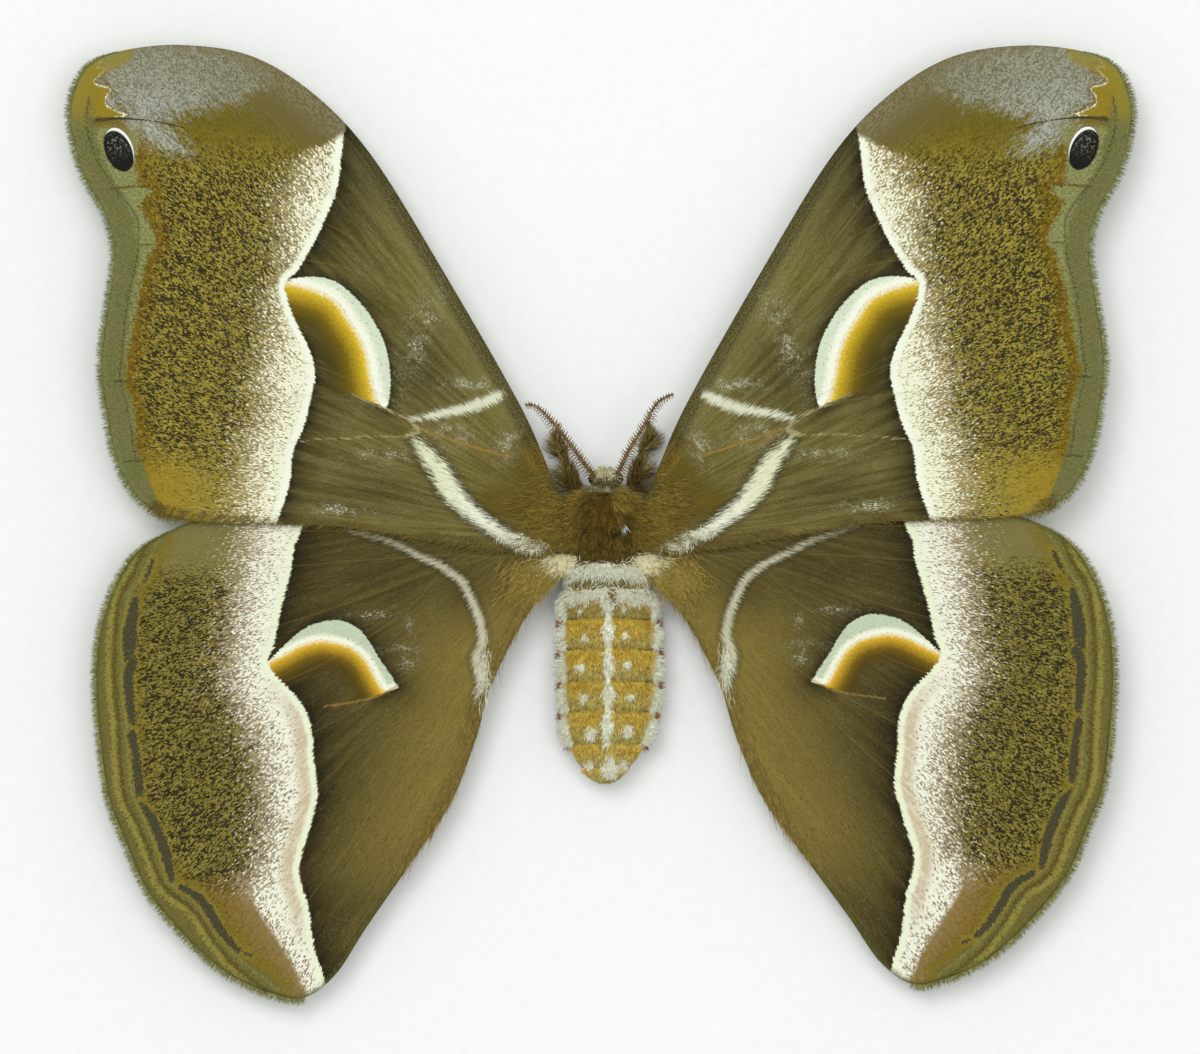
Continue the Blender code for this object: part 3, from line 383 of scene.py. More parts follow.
# Lightest and darkest colours of each kind of hair, 0 to 255
TONES = {
    "white": ((244, 245, 222), (216, 216, 186)),
    "cream": ((246, 240, 206), (206, 192, 140)),
    "brown": ((134, 114, 48), (92, 77, 32)),
    "gold": ((158, 138, 70), (116, 98, 46)),
    "nape": ((206, 208, 180), (126, 120, 84)),
    "lock": ((146, 130, 58), (60, 48, 18)),
    "waist": ((102, 86, 36), (60, 48, 18)),
    "abdomen": ((252, 253, 230), (238, 240, 206)),
    "flank": ((60, 44, 26), (168, 118, 44)),
    "head": ((108, 100, 62), (64, 57, 32)),
    "face": ((224, 221, 182), (140, 132, 88)),
    "collar": ((208, 210, 184), (128, 126, 98)),
    "leg": ((118, 101, 50), (70, 56, 26)),
    "shoulder": ((134, 114, 50), (88, 72, 30)),
    "inner": ((144, 126, 66), (112, 95, 48)),
    "hem": ((112, 98, 50), (90, 77, 38)),
    "fringe_fore": ((128, 132, 84), (66, 66, 38)),
    "fringe_hind": ((132, 132, 76), (66, 62, 34)),
}
# Hair on the front of the thorax: number, span along it, span round it, way, length, colours
COLLARS = [
    (700, (-0.99, -0.86), (-1.5, 1.5), (0.0, 0.8, 0.8), 0.9, "nape"),
    (520, (-0.95, -0.5), (0.1, 0.42), (0.5, -0.85, 0.1), 2.2, "lock"),
    (260, (0.8, 0.96), (0.7, 1.3), (1.0, -0.7, 0.3), 1.7, "cream"),
    (260, (0.8, 0.96), (-1.3, -0.7), (-1.0, -0.7, 0.3), 1.7, "cream"),
]
# White brushes and brown down at the wing roots: wing, place, spread, way, number, length, colours
BRUSHES = [
    ("fore", (8.4, -2.6), (0.75, 0.3), (-0.2, -1.0), 420, 0.9, "white"),
    ("fore", (10.2, -1.6), (0.9, 0.25), (0.2, -1.0), 420, 0.7, "white"),
    ("hind", (4.3, -4.5), (1.0, 0.45), (0.9, -0.6), 640, 1.9, "cream"),
    ("fore", (6.0, 0.6), (1.4, 2.2), (0.95, -0.2), 1100, 1.9, "brown"),
    ("hind", (7.4, -6.4), (1.6, 1.4), (0.75, -0.8), 1100, 2.4, "gold"),
    ("hind", (13.6, -17.0), (0.35, 1.3), (0.15, -1.0), 260, 1.6, "white"),
]

# Light and view, in metres where not said otherwise
WORLD_LIGHT = 0.47
LAMPS = [("key", (-0.3, 0.45, 1.5), 0.8, 8.9), ("fill", (0.35, 0.0, 1.6), 1.0, 5.9)]
SENSOR = 36.0
CAMERA_HEIGHT = 1.2
VIEW_WIDTH = 0.1353
VIEW_CENTRE = (-0.56, -0.79)
VIEW_PLANE = 6.0
SKY = (0.97, 1.0, 0.98, 1.0)
FLOOR_REACH = 1500

# Fine wing mesh
RIM_INSET = 0.22
RIM_SPACING = 0.36
GUIDE_SPACING = 0.3
FILL_SPACING = 0.42
CLOSEST = 0.14
MEMBRANE = 0.16
EDGE_MEMBRANE = 0.05
SHEET_OFFSET = {"fore": 0.36, "hind": -0.42}
RIDGE_HEIGHT = (0.16, 0.07)
RIDGE_HALF_WIDTH = (0.45, 0.22)
FAR = 60.0
# Swells of a wing: seed, size and height. Between its veins it sinks by the last.
SWELLS = [(11, 17.0, 0.16), (17, 5.0, 0.035)]
VEIN_REACH = 2.2
SINKING = 0.12
WING_RELIEF = 0.00007
# fmt: on


def smooth_line(points, step, closed=False):
    """Points about step apart on a Catmull-Rom curve through the given ones."""
    ring = [np.array(p, float) for p in points]
    count = len(ring)
    out = []
    for i in range(count if closed else count - 1):
        if closed:
            before, start, end, after = (ring[(i + k) % count] for k in (-1, 0, 1, 2))
        else:
            start, end = ring[i], ring[i + 1]
            before = ring[i - 1] if i else 2 * start - end
            after = ring[i + 2] if i + 2 < count else 2 * end - start
        cuts = max(1, round(float(np.linalg.norm((end - start)[:2])) / step))
        t = np.arange(cuts)[:, None] / cuts
        bend = 2 * before - 5 * start + 4 * end - after
        twist = 3 * start - before - 3 * end + after
        out.append(0.5 * (2 * start + (end - before) * t + bend * t**2 + twist * t**3))
    if not closed:
        out.append(ring[-1][None])
    return np.vstack(out)


def between(pair, share):
    return pair[0] + (pair[1] - pair[0]) * share


def fade(value, low, high):
    """0 at low, 1 at high, smooth between them. low may be the larger."""
    t = np.clip((value - low) / (high - low), 0, 1)
    return t * t * (3 - 2 * t)


def brush(spots, line):
    """Distance of each spot from the edge of a painted line, negative inside it, and how far along it is."""
    line = np.asarray(line, float)
    widths = line[:, 2] if line.shape[1] > 2 else np.zeros(len(line))
    best, along = np.full(len(spots), FAR), np.zeros(len(spots))
    for i in range(len(line) - 1):
        start, run = line[i, :2], line[i + 1, :2] - line[i, :2]
        off = spots - start
        share = np.clip(off @ run / (run @ run + 1e-12), 0, 1)
        gap = np.hypot(off[:, 0] - share * run[0], off[:, 1] - share * run[1])
        gap -= widths[i] + (widths[i + 1] - widths[i]) * share
        closer = gap < best
        best, along = np.where(closer, gap, best), np.where(closer, i + share, along)
    return best, along / (len(line) - 1)


def nearest(spots, lines, step):
    """Distance of each spot from the nearest of some lines."""
    return np.min([brush(spots, smooth_line(line, step))[0] for line in lines], axis=0)


def within(spots, loop):
    """Whether each spot is inside a closed loop."""
    loop = np.asarray(loop, float)[:, :2]
    found = np.zeros(len(spots), bool)
    for start, end in zip(loop, np.roll(loop, -1, axis=0)):
        if start[1] == end[1]:
            continue
        spans = (start[1] > spots[:, 1]) != (end[1] > spots[:, 1])
        cross = start[0] + (spots[:, 1] - start[1]) * (end[0] - start[0]) / (end[1] - start[1])
        found ^= spans & (spots[:, 0] < cross)
    return found


def area(spots, loop):
    """Distance of each spot from the edge of a closed shape, negative inside it."""
    loop = np.asarray(loop, float)[:, :2]
    gap = brush(spots, np.vstack([loop, loop[:1]]))[0]
    return np.where(within(spots, loop), -gap, gap)


def beyond(spots, line, corners):
    """Distance of each spot from a line, positive on the side that holds the corners."""
    line = np.asarray(line, float)[:, :2]
    gap = brush(spots, line)[0]
    return np.where(within(spots, np.vstack([line, corners])), gap, -gap)


def sheet_height(u, v):
    return WING_ROOT_HEIGHT + WING_LIFT * u - WING_SAG * v**2


def set_place(spots, kind, side_name):
    """Where spots of a wing's plan come to lie once that wing is set."""
    turn_deg, outwards, stretch = WING_SET[kind, side_name]
    turn = math.radians(turn_deg)
    along, across = ((spots - PIVOT[kind]) * (1.0, stretch)).T
    u = PIVOT[kind][0] + along * math.cos(turn) - across * math.sin(turn) + outwards
    return u, PIVOT[kind][1] + along * math.sin(turn) + across * math.cos(turn)


def ripple(spots, seed, size):
    """A smooth random height over the plan, about -1 to 1, with swells of the given size."""
    draw = np.random.default_rng(seed)
    total = np.zeros(len(spots))
    for _ in range(9):
        angle, phase = draw.uniform(0, math.tau, 2)
        pace = math.tau / size * draw.uniform(0.6, 1.7)
        total += np.sin((spots @ (math.cos(angle), math.sin(angle))) * pace + phase)
    return total / 4.5


def thinned(spots, spacing, taken=None):
    """The spots that keep their distance from those before them. taken holds earlier ones by cell."""
    taken = {} if taken is None else taken
    kept = []
    for spot in spots:
        cell = (int(spot[0] // spacing), int(spot[1] // spacing))
        near = (
            other
            for i in (-1, 0, 1)
            for j in (-1, 0, 1)
            for other in taken.get((cell[0] + i, cell[1] + j), ())
        )
        if all((spot[0] - o[0]) ** 2 + (spot[1] - o[1]) ** 2 > spacing**2 for o in near):
            taken.setdefault(cell, []).append(spot)
            kept.append(spot)
    return kept


def offset_line(line, distance):
    run = np.gradient(line[:, :2], axis=0)
    across = np.stack([-run[:, 1], run[:, 0]], axis=1)
    return line[:, :2] + across / np.linalg.norm(across, axis=1)[:, None] * distance


def inset_loop(loop, distance):
    run = np.roll(loop, -1, axis=0) - np.roll(loop, 1, axis=0)
    out = np.stack([-run[:, 1], run[:, 0]], axis=1) / np.linalg.norm(run, axis=1)[:, None]
    ahead = np.roll(loop, -1, axis=0)
    turn = (loop[:, 0] * ahead[:, 1] - ahead[:, 0] * loop[:, 1]).sum()
    return loop + out * (distance if turn > 0 else -distance)


def tree_of(spots):
    """The spots, ready to be asked for the nearest one."""
    tree = kdtree.KDTree(len(spots))
    for i, spot in enumerate(spots):
        tree.insert((*spot, 0), i)
    tree.balance()
    return tree


def wing_plan(kind):
    """Spots and triangles of a wing seen from above, denser along its veins and the lines drawn on it."""
    taken = {}
    rim = inset_loop(smooth_line(OUTLINE[kind], RIM_SPACING, closed=True), RIM_INSET)
    rim = np.array(thinned(rim, CLOSEST, taken))
    lines = [smooth_line(line, GUIDE_SPACING) for line in VEINS[kind] + GUIDES[kind]]
    lines += [offset_line(line, way * CLOSEST * 1.6) for line in lines for way in (-1, 1)]
    guides = np.vstack([line[:, :2] for line in lines])
    tree = tree_of(rim)
    guides = [g for g in guides[within(guides, rim)] if tree.find((*g, 0))[2] > CLOSEST * 1.5]
    spots = [*rim, *thinned(guides, CLOSEST, taken)]
    tree = tree_of(spots)
    low, high = rim.min(0), rim.max(0)
    row_step = FILL_SPACING * math.sqrt(3) / 2
    lanes = range(int((high[1] - low[1]) / row_step) + 1)
    places = range(int((high[0] - low[0]) / FILL_SPACING) + 2)
    grid = np.array([low + ((p + r % 2 / 2) * FILL_SPACING, r * row_step) for r in lanes for p in places])
    grid = grid[within(grid, rim)]
    spots += [g for g in grid if tree.find((*g, 0))[2] > FILL_SPACING * 0.62]
    count = len(rim)
    edges = [(i, (i + 1) % count) for i in range(count)]
    found = geometry.delaunay_2d_cdt([Vector(s) for s in spots], edges, [list(range(count))], 1, 1e-4)
    flat, triangles = np.array([tuple(p) for p in found[0]]), np.array(found[2])
    return flat, triangles[within(flat[triangles].mean(axis=1), rim)]


def add_object(name, data):
    made = bpy.data.objects.new(name, data)
    bpy.context.scene.collection.objects.link(made)
    return made


def mesh_object(name, points, faces, smooth=True):
    """An object from points in millimetres and triangles."""
    points = np.asarray(points, np.float32) * MM
    faces = np.asarray(faces, np.int32)
    mesh = bpy.data.meshes.new(name)
    mesh.vertices.add(len(points))
    mesh.vertices.foreach_set("co", points.ravel())
    mesh.loops.add(faces.size)
    mesh.loops.foreach_set("vertex_index", faces.ravel())
    mesh.polygons.add(len(faces))
    mesh.polygons.foreach_set("loop_start", np.arange(0, faces.size, faces.shape[1], dtype=np.int32))
    mesh.update(calc_edges=True)
    mesh.polygons.foreach_set("use_smooth", np.full(len(faces), smooth))
    return add_object(name, mesh)


def add_field(item, name, *columns):
    """Stores up to three numbers for each point, for its material to read."""
    values = np.zeros((len(item.data.vertices), 3), np.float32)
    for i, column in enumerate(columns):
        values[:, i] = column
    held = item.data.attributes.new(name, "FLOAT_VECTOR", "POINT")
    held.data.foreach_set("vector", values.ravel())


def wing_fields(kind, spots):
    """What the wing's drawing says at each spot, as named triples."""
    flow = spots - FLOW_ROOT[kind]
    radius = np.hypot(*flow.T)
    angle = np.arctan2(flow[:, 1], flow[:, 0])
    none = 0 * radius
    rim = smooth_line(OUTLINE[kind], RIM_SPACING, closed=True)
    first, last = MARGIN_SPAN[kind]
    outer = smooth_line(OUTLINE[kind][first : last + 1], RIM_SPACING)
    front = smooth_line(OUTLINE[kind][1 : first + 1], RIM_SPACING)
    vein = nearest(spots, VEINS[kind], 0.8)
    corners = BAND_CORNERS[kind]
    inner = beyond(spots, smooth_line(BAND_INNER[kind], 0.4), corners)
    outside = beyond(spots, smooth_line(BAND_OUTER[kind], 0.6), corners)
    crescent_rim = smooth_line(CRESCENT_OUTER[kind], 0.4)
    crescent_lip = smooth_line(CRESCENT_INNER[kind], 0.4)
    crescent = area(spots, np.vstack([crescent_rim, crescent_lip]))
    lip = brush(spots, crescent_lip)[0]
    hollow = beyond(spots, crescent_lip, HOLLOW_CORNERS[kind])
    fields = {
        "flow": (radius, angle * FLOW_ARC, none),
        "plan": (spots[:, 0], spots[:, 1], none),
        "band": (inner, outside, brush(spots, rim)[0]),
        "crescent": (crescent, lip, vein),
        "edge": (brush(spots, outer)[0], brush(spots, front)[0], hollow),
    }
    drawn = [brush(spots, smooth_line(line, 0.4))[0] for line in PAINTED[kind]]
    drawn += [none + FAR] * (-len(drawn) % 3)
    for i in range(0, len(drawn), 3):
        fields[f"paint_{i // 3}"] = drawn[i : i + 3]
    if kind == "fore":
        fields["apex"] = (
            area(spots, smooth_line(APEX_PATCH, 0.5, closed=True)),
            beyond(spots, ZIGZAG, ZIGZAG_CORNERS),
            area(spots, smooth_line(EYE_FIELD, 0.5, closed=True)),
        )
        turn = math.radians(EYESPOT["turn_deg"])
        off = spots - EYESPOT["centre"]
        fields["eyespot"] = (
            (off[:, 0] * math.cos(turn) + off[:, 1] * math.sin(turn)) / EYESPOT["half"][0],
            (off[:, 1] * math.cos(turn) - off[:, 0] * math.sin(turn)) / EYESPOT["half"][1],
            none,
        )
        fields["border"] = (
            -beyond(spots, smooth_line(FORE_OCHRE_EDGE, 0.4), BORDER_CORNERS[kind]),
            brush(spots, smooth_line(FORE_EDGE_LINE, 0.4))[0],
            nearest(spots, TICKS, 0.3),
        )
    else:
        fields["border"] = (
            -beyond(spots, smooth_line(HIND_EDGE_LINE, 0.4), BORDER_CORNERS[kind]),
            nearest(spots, DASHES, 0.3),
            none,
        )
    return fields


def shade_fields(kind, spots, fields):
    """Broad soft zones of the drawing: how dark, how golden, and how bright with loose white hairs and painted
    highlights of scales that catch the light.
    """
    inner, crescent, hollow = fields["band"][0], fields["crescent"][0], fields["edge"][2]
    u, v = spots.T
    reach = np.hypot(u - PIVOT[kind][0], v - PIVOT[kind][1])
    ledge = np.maximum(crescent, 0)

    def cloud(place, size, lean=0.0):
        du, dv = u - place[0] - (v - place[1]) * lean, v - place[1]
        return np.exp(-((du / size[0]) ** 2) - (dv / size[1]) ** 2)

    if kind == "fore":
        dark = [
            np.exp(inner / between((3.0, 4.6), fade(v, 24, 28))) * (inner < 0),
            0.95 * np.exp(-ledge / 1.7) * (hollow < 0),
            0.8 * cloud((31, 17), (4.0, 6.0)),
            0.55 * cloud((21, 16.5), (5.0, 5.5)),
            0.45 * cloud((27, 3), (9.0, 3.5)),
        ]
        gold = [
            fade(reach, 17, 5) * fade(v - u * 0.9, -14, -2),
            cloud((11.5, 2.0), (3.5, 3.0)),
            2.0 * cloud((6.4, 6.2), (2.6, 3.4), 0.6),
        ]
        glint = [0.8 * cloud((21.0, 20.5), (1.8, 5.5), -0.35)] + [cloud(*where) for where in FORE_GLINTS]
    else:
        dark = [
            np.exp(inner / between((4.6, 4.2), fade(v, -18, -24))) * (inner < 0),
            0.95 * np.exp(-ledge / 1.8) * (hollow < 0),
            0.45 * cloud((26, -6), (9.0, 4.5)),
            0.45 * cloud((16, -8.5), (3.5, 3.5)),
        ]
        gold = [fade(nearest(spots, [OUTLINE[kind][18:28]], 0.8), 15, 3) * fade(v, -3, -12)]
        glint = [cloud(*where) for where in HIND_GLINTS]
    return [np.max(parts, axis=0) for parts in (dark, gold, glint)]


def build_wing(kind, side_name, plan, fields):
    """One wing as a thin closed membrane with veins raised in both faces."""
    flat, triangles = plan
    side = SIDES[side_name]
    rim_gap, vein_gap = fields["band"][2], fields["crescent"][2]
    ridge = np.zeros(len(flat))
    for line in VEINS[kind]:
        gap, along = brush(flat, smooth_line(line, 0.8))
        shape = fade(gap / between(RIDGE_HALF_WIDTH, along), 1, 0)
        ridge = np.maximum(ridge, between(RIDGE_HEIGHT, along) * shape)
    u, v = set_place(flat, kind, side_name)
    swell = sum(ripple(flat, seed + side, size) * height for seed, size, height in SWELLS)
    swell -= SINKING * (1 - np.exp(-((vein_gap / VEIN_REACH) ** 2)))
    swell *= fade(flat[:, 0], 4, 14)
    middle = sheet_height(u, v) + SHEET_OFFSET[kind] + swell
    thick = EDGE_MEMBRANE + (MEMBRANE - EDGE_MEMBRANE) * fade(rim_gap, 0, 0.7)
    thick = thick + ROOT_THICKENING * np.exp(-((flat[:, 0] / ROOT_REACH) ** 2))
    upper = np.stack([side * u, v, middle + thick / 2 + ridge], axis=1)
    lower = np.stack([side * u, v, middle - thick / 2 - ridge * 0.6], axis=1)
    count = len(flat)
    edges = np.stack([triangles, np.roll(triangles, -1, axis=1)], axis=2).reshape(-1, 2)
    pairs, times = np.unique(np.sort(edges, axis=1), axis=0, return_counts=True)
    rims = {tuple(p) for p in pairs[times == 1]}
    walls = []
    for a, b in edges:
        if (min(a, b), max(a, b)) in rims:
            walls += [(b, a, a + count), (b, a + count, b + count)]
    faces = np.vstack([triangles, triangles[:, ::-1] + count, walls])
    if side < 0:
        faces = faces[:, ::-1]
    made = mesh_object(f"{kind}wing_skin_{side_name}", np.vstack([upper, lower]), faces)
    # The third number tells the upper face from the lower in the plan, and the wings' sides in the flow
    third = {"plan": np.repeat([0.0, 1.0], count), "flow": 40.0 * side}
    for name, columns in fields.items():
        columns = [np.tile(column, 2) for column in columns]
        add_field(made, name, *columns[:2], third.get(name, columns[2]))
    return made


def linear(red, green, blue):
    """A colour as it shows on screen, 0 to 255, turned into the light it stands for."""
    parts = np.array([red, green, blue]) / 255
    return tuple(np.where(parts > 0.04045, ((parts + 0.055) / 1.055) ** 2.4, parts / 12.92))


class Value:
    """A number or colour that varies over a surface: the output of one of a paint's nodes."""

    def __init__(self, paint, socket):
        self.paint, self.socket = paint, socket

    def __add__(self, other):
        return self.paint.math("ADD", self, other)

    def __sub__(self, other):
        return self.paint.math("SUBTRACT", self, other)

    def __mul__(self, other):
        return self.paint.math("MULTIPLY", self, other)

    def __pow__(self, other):
        return self.paint.math("POWER", self, other)

    def root(self):
        return self.paint.math("SQRT", self)

    def step(self, low, high, start=0.0, end=1.0):
        """start at low and end at high, smooth between them. low may be the larger."""
        inputs = {"Value": self, "From Min": low, "From Max": high, "To Min": start, "To Max": end}
        return self.paint.node("ShaderNodeMapRange", inputs, interpolation_type="SMOOTHSTEP")

    def fray(self, noise, amount):
        """A distance that wanders with a noise, by up to about a quarter of the amount."""
        return self + (noise - 0.5) * amount


class Paint:
    """Shorthand for a material whose colour is built up layer by layer."""

    def __init__(self, name, specular):
        self.material = bpy.data.materials.new(name)
        self.material.use_nodes = True
        self.tree = self.material.node_tree
        self.shader = self.tree.nodes["Principled BSDF"]
        self.fill(self.shader, {"Specular IOR Level": specular})
        self.colour = None

    def fill(self, node, inputs):
        for key, value in inputs.items():
            if isinstance(value, Value):
                self.tree.links.new(value.socket, node.inputs[key])
            else:
                node.inputs[key].default_value = value

    def node(self, kind, inputs, output=0, **settings):
        """One output of a new node, or all of them where output is None."""
        made = self.tree.nodes.new(kind)
        for key, value in settings.items():
            setattr(made, key, value)
        self.fill(made, inputs)
        if output is None:
            return [Value(self, socket) for socket in made.outputs]
        return Value(self, made.outputs[output])

    def math(self, operation, *values):
        return self.node("ShaderNodeMath", dict(enumerate(values)), operation=operation)

    def stored(self, name, output="Vector"):
        return self.node("ShaderNodeAttribute", {}, output, attribute_name=name)

    def field(self, name):
        """The three numbers that the mesh holds under a name."""
        return self.node("ShaderNodeSeparateXYZ", {0: self.stored(name)}, None)

    def stretched(self, name, scale, shift):
        inputs = {"Vector": self.stored(name), "Scale": scale, "Location": shift}
        return self.node("ShaderNodeMapping", inputs)

    def cloud(self, place, scale, detail, roughness=0.5):
        inputs = {"Vector": place, "Scale": scale, "Detail": detail, "Roughness": roughness}
        return self.node("ShaderNodeTexNoise", inputs, "Fac")

    def noise(self, name, scale, detail=2.0, roughness=0.5, shift=(0, 0, 0)):
        """A soft random number, in the plan's or the flow's places."""
        return self.cloud(self.stretched(name, scale, shift), 1.0, detail, roughness)

    def scales(self, scale, shift=(0, 0, 0)):
        """Three random numbers for each scale of the wing: the scales are long cells that lie along it."""
        inputs = {"Vector": self.stretched("flow", scale, shift), "Scale": 1.0}
        cells = self.node("ShaderNodeTexVoronoi", inputs, "Color")
        return self.node("ShaderNodeSeparateColor", {0: cells}, None)

    def place(self):
        return self.node("ShaderNodeTexCoord", {}, "Object")

    def mix(self, share, *pair):
        """The first of two colours where share is 0, and the second where it is 1."""
        first, second = (c if isinstance(c, Value) else (*linear(*c), 1.0) for c in pair)
        inputs = {0: share, 6: first, 7: second}
        return self.node("ShaderNodeMix", inputs, 2, data_type="RGBA", clamp_factor=True)

    def over(self, colour, share):
        """A layer of a colour over what is there."""
        self.colour = self.mix(share, self.colour, colour)

    def finish(self, roughness, height=None, depth=0.0):
        """The finished material, with a relief that is depth metres deep."""
        inputs = {"Base Color": self.colour, "Roughness": roughness}
        if height is not None:
            bump = {"Height": height, "Distance": depth, "Strength": 1.0}
            inputs["Normal"] = self.node("ShaderNodeBump", bump)
        self.fill(self.shader, inputs)
        return self.material


def speckled(paint, specks, dark_specks, ground, sparse, share):
    """The outer field: bright scales with short dark ones scattered through them along the wing."""
    broad = paint.noise("flow", (0.16, 0.16, 1), 3.0, 0.6)
    paint.colour = paint.mix(broad.step(0.3, 0.7), *ground)
    first, second, third = paint.scales((3.6, 10.0, 1))
    paint.over(specks, second.step(0.25, 0.75, 0.0, 0.8))
    clump = paint.noise("flow", (0.55, 1.4, 1), 3.0, 0.65, (3, 8, 2))
    wavy = paint.noise("flow", (1.5, 3.4, 1), 1.0, 0.5, (9, 5, 6))
    rate = (clump - 0.5) * 1.1 + (wavy - 0.5) * 0.6 + share + sparse * -0.6
    paint.over(dark_specks, (first - rate).step(0.06, -0.06, 0.0, 0.95))
    return third * 0.42 + paint.noise("flow", (2.4, 7.0, 1)) * 0.58


def banded(paint, outside, short, ends, wide, reach, pink, white):
    """The pale band, whose scales thin out towards the margin. ends and wide: where it stops and spreads."""
    loose = paint.noise("flow", (0.5, 2.6, 1), 3.0, 0.6, (2, 9, 4))
    away = outside.fray(loose, 4.5) + ends * 9.0 + wide * -2.6
    paint.over(pink, away.step(reach * 0.6, -1.8, 0.0, 0.5))
    # Loose scales: colour, shares of the reach where they start to thicken, where full, how many there,
    # shares of the reach past which there are none, the sharpness of their edges, and the strength
    layers = [
        (pink, 0.7, -1.6, -0.62, (1.3, 0.8), -0.03, 0.8),
        (white, 0.35, -4.0, -0.68, (0.9, 0.3), -0.05, 0.96),
    ]
    for colour, start, full, many, (none, some), edge, most in layers:
        level = away.step(reach * start, full, -0.30, many)
        near = away.step(reach * none, reach * some)
        paint.over(colour, near * (short + level).step(0.03, edge, 0.0, most))
    return loose


def crescent_mark(paint, white, grey, yellow, brown, reach, rough):
    """A crescent: speckled grey-white, white at its lip, and behind it yellow that fades into brown."""
    shape, lip, _ = paint.field("crescent")
    _, _, hollow = paint.field("edge")
    fleck = paint.noise("plan", (3.4, 3.4, 1), 2.0, 0.7, (5, 5, 0))
    soft = lip.fray(fleck, rough)
    inside = hollow.step(-0.12, 0.12)
    deep = tuple(int(0.62 * part) for part in yellow)
    light = tuple(min(250, int(1.16 * part + 8)) for part in yellow)
    # Colours away from the lip, with shares of the reach where they start and are full, and their strength
    glow = [(brown, 1.9, 0.9, 0.92), (deep, 1.25, 0.6, 0.95), (yellow, 0.85, 0.25, 1.0), (light, 0.42, 0.08, 0.9)]
    for colour, start, full, most in glow:
        paint.over(colour, inside * soft.step(reach * start, reach * full, 0.0, most))
    edge = shape.fray(fleck, 0.5).step(0.08, -0.08)
    paint.over(grey, edge)
    paint.over((112, 118, 100), edge * fleck.step(0.58, 0.70, 0.0, 0.55))
    paint.over(white, edge * soft.step(reach * 0.4, reach * 0.15))
    paint.over(white, inside * soft.step(reach * 0.22, 0.0, 0.0, 0.75))
    return fleck


def streaked(paint, plain):
    """The inner field's soft streaks, and the noises that its hairs and scales come from."""
    streak = paint.noise("flow", (0.10, 1.0, 1), 3.0, 0.6, (3, 1, 7))
    paint.colour = paint.mix(streak.step(0.36, 0.64), *plain)
    fine = paint.noise("flow", (0.8, 4.6, 1), 3.0, 0.65, (6, 2, 3))
    return streak, fine, paint.noise("plan", (5.6, 5.6, 1), 2.0, 0.75)


def scattered(paint, fine, grain, dark, glint, dark_hair, pale_hair):
    """Fine hairs over the inner field, and single scales that catch the light, as painted highlights."""
    lit = dark.step(0.0, 1.0, 1.0, 0.12)
    clump = paint.noise("plan", (0.5, 0.5, 1), 3.0, 0.7, (4, 4, 0))
    dash = paint.noise("flow", (2.4, 8.5, 1), 1.0, 0.5, (5, 9, 2))
    glint_specks = paint.noise("plan", (7.0, 7.0, 1), 1.0, 0.5, (2, 7, 0))
    paint.over(dark_hair, fine.step(0.54, 0.68, 0.0, 0.42))
    paint.over(pale_hair, lit * fine.step(0.44, 0.28, 0.0, 0.36))
    paint.over(dark_hair, grain.step(0.54, 0.64, 0.0, 0.45))
    paint.over(pale_hair, lit * grain.step(0.42, 0.30, 0.0, 0.42))
    # Painted highlights: short bright dashes and fine specks where loose scales catch the light, thickest in the
    # glint zones
    sparks = (dash + glint * 0.09).step(0.60, 0.68)
    bunch = clump.step(0.42, 0.60, 0.1, 1.0)
    paint.over((222, 226, 200), sparks * bunch * (glint * 0.9 + 0.08))
    paint.over((170, 172, 146), glint_specks.step(0.55, 0.66) * (bunch * glint) * 0.75)


def wing_finish(paint, fine, under, vein_colour, vein_reach, under_colour):
    """The veins, the paler underside, and the relief of scales and loose hairs that lie along the wing."""
    _, _, vein = paint.field("crescent")
    paint.over(vein_colour, vein.step(vein_reach, 0.03, 0.0, 0.16))
    paint.over(under_colour, under * 0.35)
    scales = paint.noise("flow", (2.6, 6.0, 1), 2.0, 0.6, (4, 4, 2))
    hairs = paint.noise("flow", (0.35, 3.0, 1), 3.0, 0.6, (1, 8, 5))
    return paint.finish(fine.step(0.3, 0.7, 0.52, 0.74), scales * 0.7 + hairs, WING_RELIEF)


